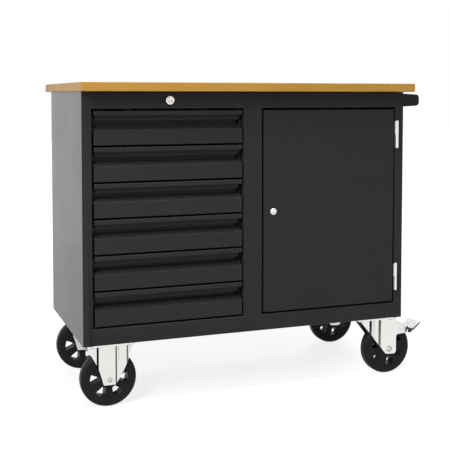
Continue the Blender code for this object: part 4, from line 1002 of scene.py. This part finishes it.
def makeFixedBracket(end):
    node = f"fixed_bracket_{end}"
    low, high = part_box(node)
    axle = centreOf(f"fixed_axle_{end}")
    face = caster["legInner"] + caster["sheet"]
    overrun = caster["overrun"]
    plateLow = high.z - caster["plate"]
    outline = softCorners(aroundAxle(fixedLeg["outline"], axle), caster["legCorner"], steps=3)
    outOf = fixedLeg["outer"] + fixedLeg["inner"]
    legs = []
    for way in (-1, 1):
        section = [(axle.x + x * mm, axle.y + way * (face + out * mm)) for x, out in outOf]
        leg = prism(section, low.z - overrun, plateLow + fixedLeg["intoPlate"], "Z")
        leg = joined(leg, "INTERSECT", prism(outline, axle.y - 2 * face, axle.y + 2 * face))
        bottom = axle.y + way * (face + fixedLeg["slitFace"] - fixedLeg["slitDepth"])
        above = axle.y + way * (face + overrun)
        slit = block(
            (axle.x + fixedLeg["slitLeft"], min(bottom, above), axle.z + fixedLeg["slitFoot"]),
            (axle.x + fixedLeg["slitRight"], max(bottom, above), plateLow))
        legs.append(drilled(joined(leg, "DIFFERENCE", slit), axle, 2 * face))
    plate = prism(softCorners(cornersOf(low, high), caster["plateCorner"]), plateLow, high.z, "Z")
    whole = rounded(joined(plate, "UNION", *legs), caster["legEdge"], angle=caster["legEdgeAngle"])
    settle(f"{end}FixedBracket", whole, brightZinc, "cabinet", "zinc_plate", node,
           grooves=spansNear(fixedLeg, axle.x))


swivelLeg = {
    # across from the axle and out from the leg's flat face, in mm, up to where the housing turns
    "outer": [(-112, 0), (-69.6, 0), (-66.8, -3.1), (-62.4, 2.6), (-60.2, 3), (-57.5, 2.6), (-54, 1),
              (-48, 0), (-42, -0.4), (-37.2, -0.2), (-34.8, -2.6), (-29.8, 2.6), (-27, 3),
              (24, 3), (34, 2.2), (43, 0.8), (51, 0)],
    "grooves": [(-69.6, -62), (-37.2, -29.6)],
    "edge": [(-1.21, 1.14), (-0.22, -0.10), (-0.15, -0.18), (0.20, -0.20), (0.28, -0.16), (0.30, -0.08),
             (0.30, 0.50), (0.36, 0.56)],
    "top": [(1.03, 0.56), (1.03, 0.79), (0.62, 0.915), (0.29, 1.145)],
    "turnSteps": 24, "footShare": -0.5, "notchShare": 0.625, "notchHalf": 19.5 * mm,
    "crown": 4 * mm, "crownInset": 0.3 * mm, "crownOverlap": 1 * mm, "crownDrop": 0.15 * mm,
}


def makeSwivelFork(end):
    node = f"swivel_fork_{end}"
    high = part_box(node)[1]
    axle = centreOf(f"swivel_axle_{end}")
    radius = caster["wheelRadius"]
    overrun = caster["overrun"]
    inner = caster["legInner"]
    outer = inner + caster["sheet"]
    turn = high.x - outer
    near = [(axle.x + x * mm, axle.y - outer - out * mm) for x, out in swivelLeg["outer"]]
    far = [(x, 2 * axle.y - y) for x, y in reversed(near)]
    steps = swivelLeg["turnSteps"]
    arc = [-pi / 2 + pi * step / steps for step in range(1, steps)]
    section = near + [(turn + outer * cos(a), axle.y + outer * sin(a)) for a in arc] + far
    start = near[0][0]
    section += [(start, axle.y + inner), (turn, axle.y + inner)]
    section += [(turn + inner * cos(a), axle.y + inner * sin(a)) for a in reversed(arc)]
    section += [(turn, axle.y - inner), (start, axle.y - inner)]
    strip = prism(section, axle.z + swivelLeg["footShare"] * radius, high.z + overrun, "Z")
    edge = aroundAxle(swivelLeg["edge"], axle)
    top = aroundAxle(swivelLeg["top"], axle)
    left = edge[0][0]
    right = top[-1][0]
    outline = [(left, high.z)] + edge + top + [(right, high.z)]
    outline = softCorners(outline, caster["legCorner"], steps=3)
    shell = joined(strip, "INTERSECT", prism(outline, axle.y - 2 * outer, axle.y + 2 * outer))
    inset = swivelLeg["crownInset"]
    half = inner + swivelLeg["crownOverlap"]
    crown = block(
        (left + inset, axle.y - half, high.z - swivelLeg["crown"]),
        (right - inset, axle.y + half, high.z - swivelLeg["crownDrop"]))
    half = swivelLeg["notchHalf"]
    notch = block(
        (turn, axle.y - half, axle.z + swivelLeg["notchShare"] * radius),
        (high.x + overrun, axle.y + half, high.z))
    whole = joined(joined(shell, "UNION", crown), "DIFFERENCE", notch)
    whole = rounded(drilled(whole, axle, 2 * outer), caster["legEdge"], angle=caster["legEdgeAngle"])
    settle(f"{end}SwivelFork", whole, brightZinc, f"swivel_{end}", "zinc_plate", node,
           grooves=spansNear(swivelLeg, axle.x))


swivelPlate = {
    # radius and height in mm: the ball race from the plate's underside, the kingpin's head from its foot
    "race": [(0, -5.7), (23, -5.7), (25, -4.9), (26, -3.3), (25, -0.8), (24, 1), (0, 1)],
    "pinHead": [(0, 0), (9, 0), (10, 1), (10, 4.6), (6, 4.6)],
    "pinRadius": 6 * mm, "pinIntoPlate": 1 * mm, "edge": 0.8 * mm,
}


def makeSwivelPlate(end):
    node = f"swivel_plate_{end}"
    low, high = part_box(node)
    middle = centreOf(node)
    plateLow = high.z - caster["plate"]
    outline = softCorners(cornersOf(low, high), caster["plateCorner"])
    plate = rounded(prism(outline, plateLow, high.z, "Z"), swivelPlate["edge"], angle=60)
    race = [(r * mm, plateLow + up * mm) for r, up in swivelPlate["race"]]
    ring = turned(race, (middle.x, middle.y, 0), zAxis)
    pinTop = plateLow + swivelPlate["pinIntoPlate"]
    pin = [(r * mm, low.z + up * mm) for r, up in swivelPlate["pinHead"]]
    pin += [(swivelPlate["pinRadius"], pinTop), (0, pinTop)]
    stem = turned(pin, (middle.x, middle.y, 0), zAxis, steps=36)
    settle(f"{end}SwivelPlate", joined(plate, "UNION", ring, stem), brightZinc, "cabinet", "zinc_plate", node)


pedal = {
    "pad": [(1.03, 0.71), (1.37, 0.95), (1.398, 0.915), (1.08, 0.655)],
    "skin": [(1.022, 0.732), (1.363, 0.973), (1.377, 0.951), (1.036, 0.71)],
    "block": [(0.82, 0.57), (1.00, 0.56), (1.085, 0.66), (1.04, 0.735), (0.82, 0.76)],
    "arm": [(0.6625, 0.806), (0.69, 0.86), (0.76, 0.8625), (1.056, 0.70), (1.056, 0.60), (1.01, 0.685),
            (0.90, 0.679), (0.825, 0.656), (0.80, 0.6625), (0.70, 0.75)],
    "pivot": (0.725, 0.806), "pin": 3 * mm, "armHalf": 16.9 * mm, "half": 26.7 * mm, "treadHalf": 30 * mm,
    "skinOver": 0.4 * mm, "clear": 5 * mm, "edge": 0.5 * mm, "armEdge": 0.4 * mm, "edgeAngle": 40,
}


def makePedal(end):
    node = f"brake_pedal_{end}"
    body = f"brake_{end}"
    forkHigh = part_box(f"swivel_fork_{end}")[1]
    axle = centreOf(f"swivel_axle_{end}")
    outer = caster["legInner"] + caster["sheet"]
    angle = pedal["edgeAngle"]

    def slab(part, half):
        return prism(aroundAxle(pedal[part], axle), axle.y - half, axle.y + half)

    radius = outer + pedal["clear"]
    profile = [(0, 0), (radius, 0), (radius, 3 * radius), (0, 3 * radius)]
    housing = turned(profile, (forkHigh.x - outer, axle.y, axle.z), zAxis)
    black = joined(slab("block", pedal["half"]), "DIFFERENCE", housing)
    black = joined(black, "UNION", slab("pad", pedal["treadHalf"]))
    black = rounded(black, pedal["edge"], angle=angle)
    settle(f"{end}BrakePedal", black, pedalPlastic, body, "handle_plastic", node)
    [(pinX, pinZ)] = aroundAxle([pedal["pivot"]], axle)
    reach = pedal["half"]
    thick = pedal["pin"]
    pin = turned([(0, -reach), (thick, -reach), (thick, reach), (0, reach)], (pinX, axle.y, pinZ), steps=24)
    arm = joined(slab("arm", pedal["armHalf"]), "UNION", pin)
    settle(f"{end}PedalArm", rounded(arm, pedal["armEdge"], angle=angle), greyZinc, body, "zinc_plate")
    skin = slab("skin", pedal["treadHalf"] + pedal["skinOver"])
    settle(f"{end}PedalTread", rounded(skin, pedal["edge"], angle=angle), brightZinc, body, "zinc_plate")


for end in ("front", "back"):
    makeWheel(f"{end}FixedWheel", f"fixed_wheel_{end}", f"fixed_wheel_{end}")
    makeWheel(f"{end}SwivelWheel", f"swivel_wheel_{end}", f"swivel_wheel_{end}", caster["swivelPhase"])
    makeAxle(f"{end}FixedAxle", f"fixed_axle_{end}", "cabinet", **axleSizes["fixed"])
    makeAxle(f"{end}SwivelAxle", f"swivel_axle_{end}", f"swivel_{end}", **axleSizes["swivel"])
    makeFixedBracket(end)
    makeSwivelFork(end)
    makeSwivelPlate(end)
    makePedal(end)
print("casters made")


# fasteners on the carcass

screws = {
    "plateBolt": {
        "Sides": 6, "Head Radius": 7.2 * mm, "Head Height": 4.6 * mm, "Washer Radius": 8.2 * mm,
        "Washer Height": 2.4 * mm, "Recess Radius": 4.6 * mm, "Recess Depth": 0.4 * mm, "Recess Sides": 24},
    "panHead": {
        "Sides": 28, "Head Radius": 4.2 * mm, "Head Height": 2.2 * mm, "Washer Radius": 4.6 * mm,
        "Washer Height": 0.8 * mm, "Recess Radius": 1.6 * mm, "Recess Depth": 1.4 * mm, "Recess Sides": 6},
    "boltAcross": 52.5 * mm, "boltAlong": 40 * mm, "backInset": 12 * mm, "backEnd": 40 * mm, "backCount": 6,
}


def fastenCasters():
    spots = []
    for node in ("fixed_bracket_front", "fixed_bracket_back", "swivel_plate_front", "swivel_plate_back"):
        middle = centreOf(node)
        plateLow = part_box(node)[1].z - caster["plate"]
        for across in (-1, 1):
            for along in (-1, 1):
                x = middle.x + across * screws["boltAcross"]
                y = middle.y + along * screws["boltAlong"]
                spots.append(((x, y, plateLow), (0, 0, -1)))
    fasten("casterBolts", spots, screws["plateBolt"], greyZinc, "cabinet", "zinc_plate")


def fastenBack():
    end = screws["backEnd"]
    count = screws["backCount"]
    spots = []
    for x in (cabLeft + screws["backInset"], cabRight - screws["backInset"]):
        for step in range(count):
            z = cabBase + end + step * (cabTop - cabBase - 2 * end) / (count - 1)
            spots.append(((x, cabBack, z), (0, 1, 0)))
    fasten("backPanelScrews", spots, screws["panHead"], powderCoat, "cabinet", "cabinet_paint")


fastenCasters()
fastenBack()
for name, node in cadNodes.items():
    if not node.hide_render:
        print("CAD node still showing:", name)


# floor, light and camera

stageSizes = {"floor": 30.0, "floorDrop": 0.2 * mm, "flagDistance": 1.05, "flagNear": -0.7,
              "flagFar": 1.4, "flagHeight": 0.42, "cardBack": 2.6, "cardLeft": -5.0, "cardRight": -0.75,
              "cardHeight": 2.6, "fadeStart": 0.9, "fadeEnd": 2.6}
glow = {"floorNear": 0.82, "floorFar": 1.0, "card": 1.38, "worldSoft": 0.24, "worldSeen": 1.0}
lamps = {
    "frontLamp": {"place": (-2.6, -2.6, 2.6), "target": (0, -0.25, 0.55), "size": (1.6, 1.4), "power": 126},
    "topLamp": {"place": (0, -1.05, 3.0), "target": (0, -0.25, 0.5), "size": (2.4, 0.8), "power": 54},
    "backLamp": {"place": (2.0, 2.8, 2.4), "target": (0, 0, 0.5), "size": (1.8, 1.4), "power": 80},
}


def lightRays(tree):
    # one where the ray comes from the camera or from a mirror or glass, where the backdrop shows
    path = addNode(tree, "ShaderNodeLightPath")
    mirror = addNode(
        tree, "ShaderNodeMath", {0: path.outputs["Is Camera Ray"], 1: path.outputs["Is Glossy Ray"]},
        operation="MAXIMUM")
    glass = addNode(
        tree, "ShaderNodeMath", {0: mirror.outputs[0], 1: path.outputs["Is Transmission Ray"]},
        operation="MAXIMUM")
    return glass.outputs[0]


def emptyMaterial(name):
    material = bpy.data.materials.new(name)
    material.use_nodes = True
    material.node_tree.nodes.clear()
    return material


def makeFloor():
    # nearly white to the camera and to mirrors, grey to the light, with the object's shadow on it
    material = emptyMaterial("studioFloor")
    tree = material.node_tree
    pale = addNode(tree, "ShaderNodeBsdfDiffuse", {"Color": hexColour("#C8C8C8")})
    faint = addNode(tree, "ShaderNodeBsdfDiffuse", {"Color": hexColour("#8C8C8C")})
    place = addNode(tree, "ShaderNodeTexCoord").outputs["Object"]
    away = addNode(tree, "ShaderNodeVectorMath", {0: place}, operation="LENGTH")
    fade = addNode(
        tree, "ShaderNodeMapRange", {"Value": away.outputs["Value"], "From Min": stageSizes["fadeStart"],
                                     "From Max": stageSizes["fadeEnd"], "To Min": glow["floorNear"],
                                     "To Max": glow["floorFar"]})
    shine = addNode(tree, "ShaderNodeEmission", {"Strength": fade.outputs["Result"]})
    seen = addNode(tree, "ShaderNodeAddShader", {0: faint.outputs[0], 1: shine.outputs[0]})
    both = addNode(
        tree, "ShaderNodeMixShader", {0: lightRays(tree), 1: pale.outputs[0], 2: seen.outputs[0]})
    addNode(tree, "ShaderNodeOutputMaterial", {"Surface": both.outputs[0]})
    half = stageSizes["floor"] / 2
    low = -stageSizes["floorDrop"]
    corners = [(-half, -half, low), (half, -half, low), (half, half, low), (-half, half, low)]
    mesh = plainMesh("studioFloor", corners, faces=[(0, 1, 2, 3)])
    mesh.materials.append(material)
    floor = placed("studioFloor", mesh)


def makeScreen(name, corners, shader, material):
    # a sheet beside the set that only shows in glossy surfaces and takes no light from the object
    mesh = plainMesh(name, corners, faces=[(0, 1, 2, 3)])
    addNode(material.node_tree, "ShaderNodeOutputMaterial", {"Surface": shader.outputs[0]})
    mesh.materials.append(material)
    screen = placed(name, mesh)
    screen.visible_camera = False
    screen.visible_diffuse = False
    screen.visible_shadow = False
    screen.visible_transmission = False


def makeFlag():
    # a low black flag on the right, which gives the casters' right-hand turns their dark edge
    material = emptyMaterial("blackFlag")
    shader = addNode(material.node_tree, "ShaderNodeBsdfDiffuse", {"Color": hexColour("#101010")})
    x = stageSizes["flagDistance"]
    near = stageSizes["flagNear"]
    far = stageSizes["flagFar"]
    tall = stageSizes["flagHeight"]
    makeScreen("blackFlag", [(x, near, 0), (x, far, 0), (x, far, tall), (x, near, tall)], shader, material)


def makeCard():
    # a bright card behind on the left, whose grazing reflection makes the left side grey
    material = emptyMaterial("whiteCard")
    shader = addNode(material.node_tree, "ShaderNodeEmission", {"Strength": glow["card"]})
    y = stageSizes["cardBack"]
    left = stageSizes["cardLeft"]
    right = stageSizes["cardRight"]
    tall = stageSizes["cardHeight"]
    corners = [(left, y, 0), (right, y, 0), (right, y, tall), (left, y, tall)]
    makeScreen("whiteCard", corners, shader, material)


def makeWorld():
    world = bpy.data.worlds.new("studio")
    world.use_nodes = True
    tree = world.node_tree
    tree.nodes.clear()
    soft = addNode(tree, "ShaderNodeBackground", {"Color": (1, 1, 1, 1), "Strength": glow["worldSoft"]})
    white = addNode(tree, "ShaderNodeBackground", {"Color": (1, 1, 1, 1), "Strength": glow["worldSeen"]})
    both = addNode(tree, "ShaderNodeMixShader", {0: lightRays(tree), 1: soft.outputs[0], 2: white.outputs[0]})
    addNode(tree, "ShaderNodeOutputWorld", {"Surface": both.outputs[0]})
    scene.world = world


def makeLamp(name, place, target, size, power):
    lamp = bpy.data.lights.new(name, "AREA")
    lamp.shape = "RECTANGLE"
    lamp.size = size[0]
    lamp.size_y = size[1]
    lamp.energy = power
    holder = placed(name, lamp)
    holder.location = place
    holder.rotation_mode = "QUATERNION"
    holder.rotation_quaternion = (Vector(target) - Vector(place)).to_track_quat("-Z", "Y")


def makeCamera():
    # the photograph was taken from the front left, level with the worktop
    shot = {"place": (-1.0162, -2.6537, 0.8742), "turn": 20.306, "tip": 3.052, "lens": 71.879, "shift": -0.18}
    data = bpy.data.cameras.new("camera")
    data.lens = shot["lens"]
    data.sensor_width = 36
    data.shift_y = shot["shift"]
    camera = placed("camera", data)
    camera.location = shot["place"]
    camera.rotation_euler = (radians(90 - shot["tip"]), 0, radians(-shot["turn"]))
    scene.camera = camera


makeFloor()
makeFlag()
makeCard()
makeWorld()
for name, lamp in lamps.items():
    makeLamp(name, **lamp)
makeCamera()
scene.view_settings.view_transform = "Standard"
print("stage made")
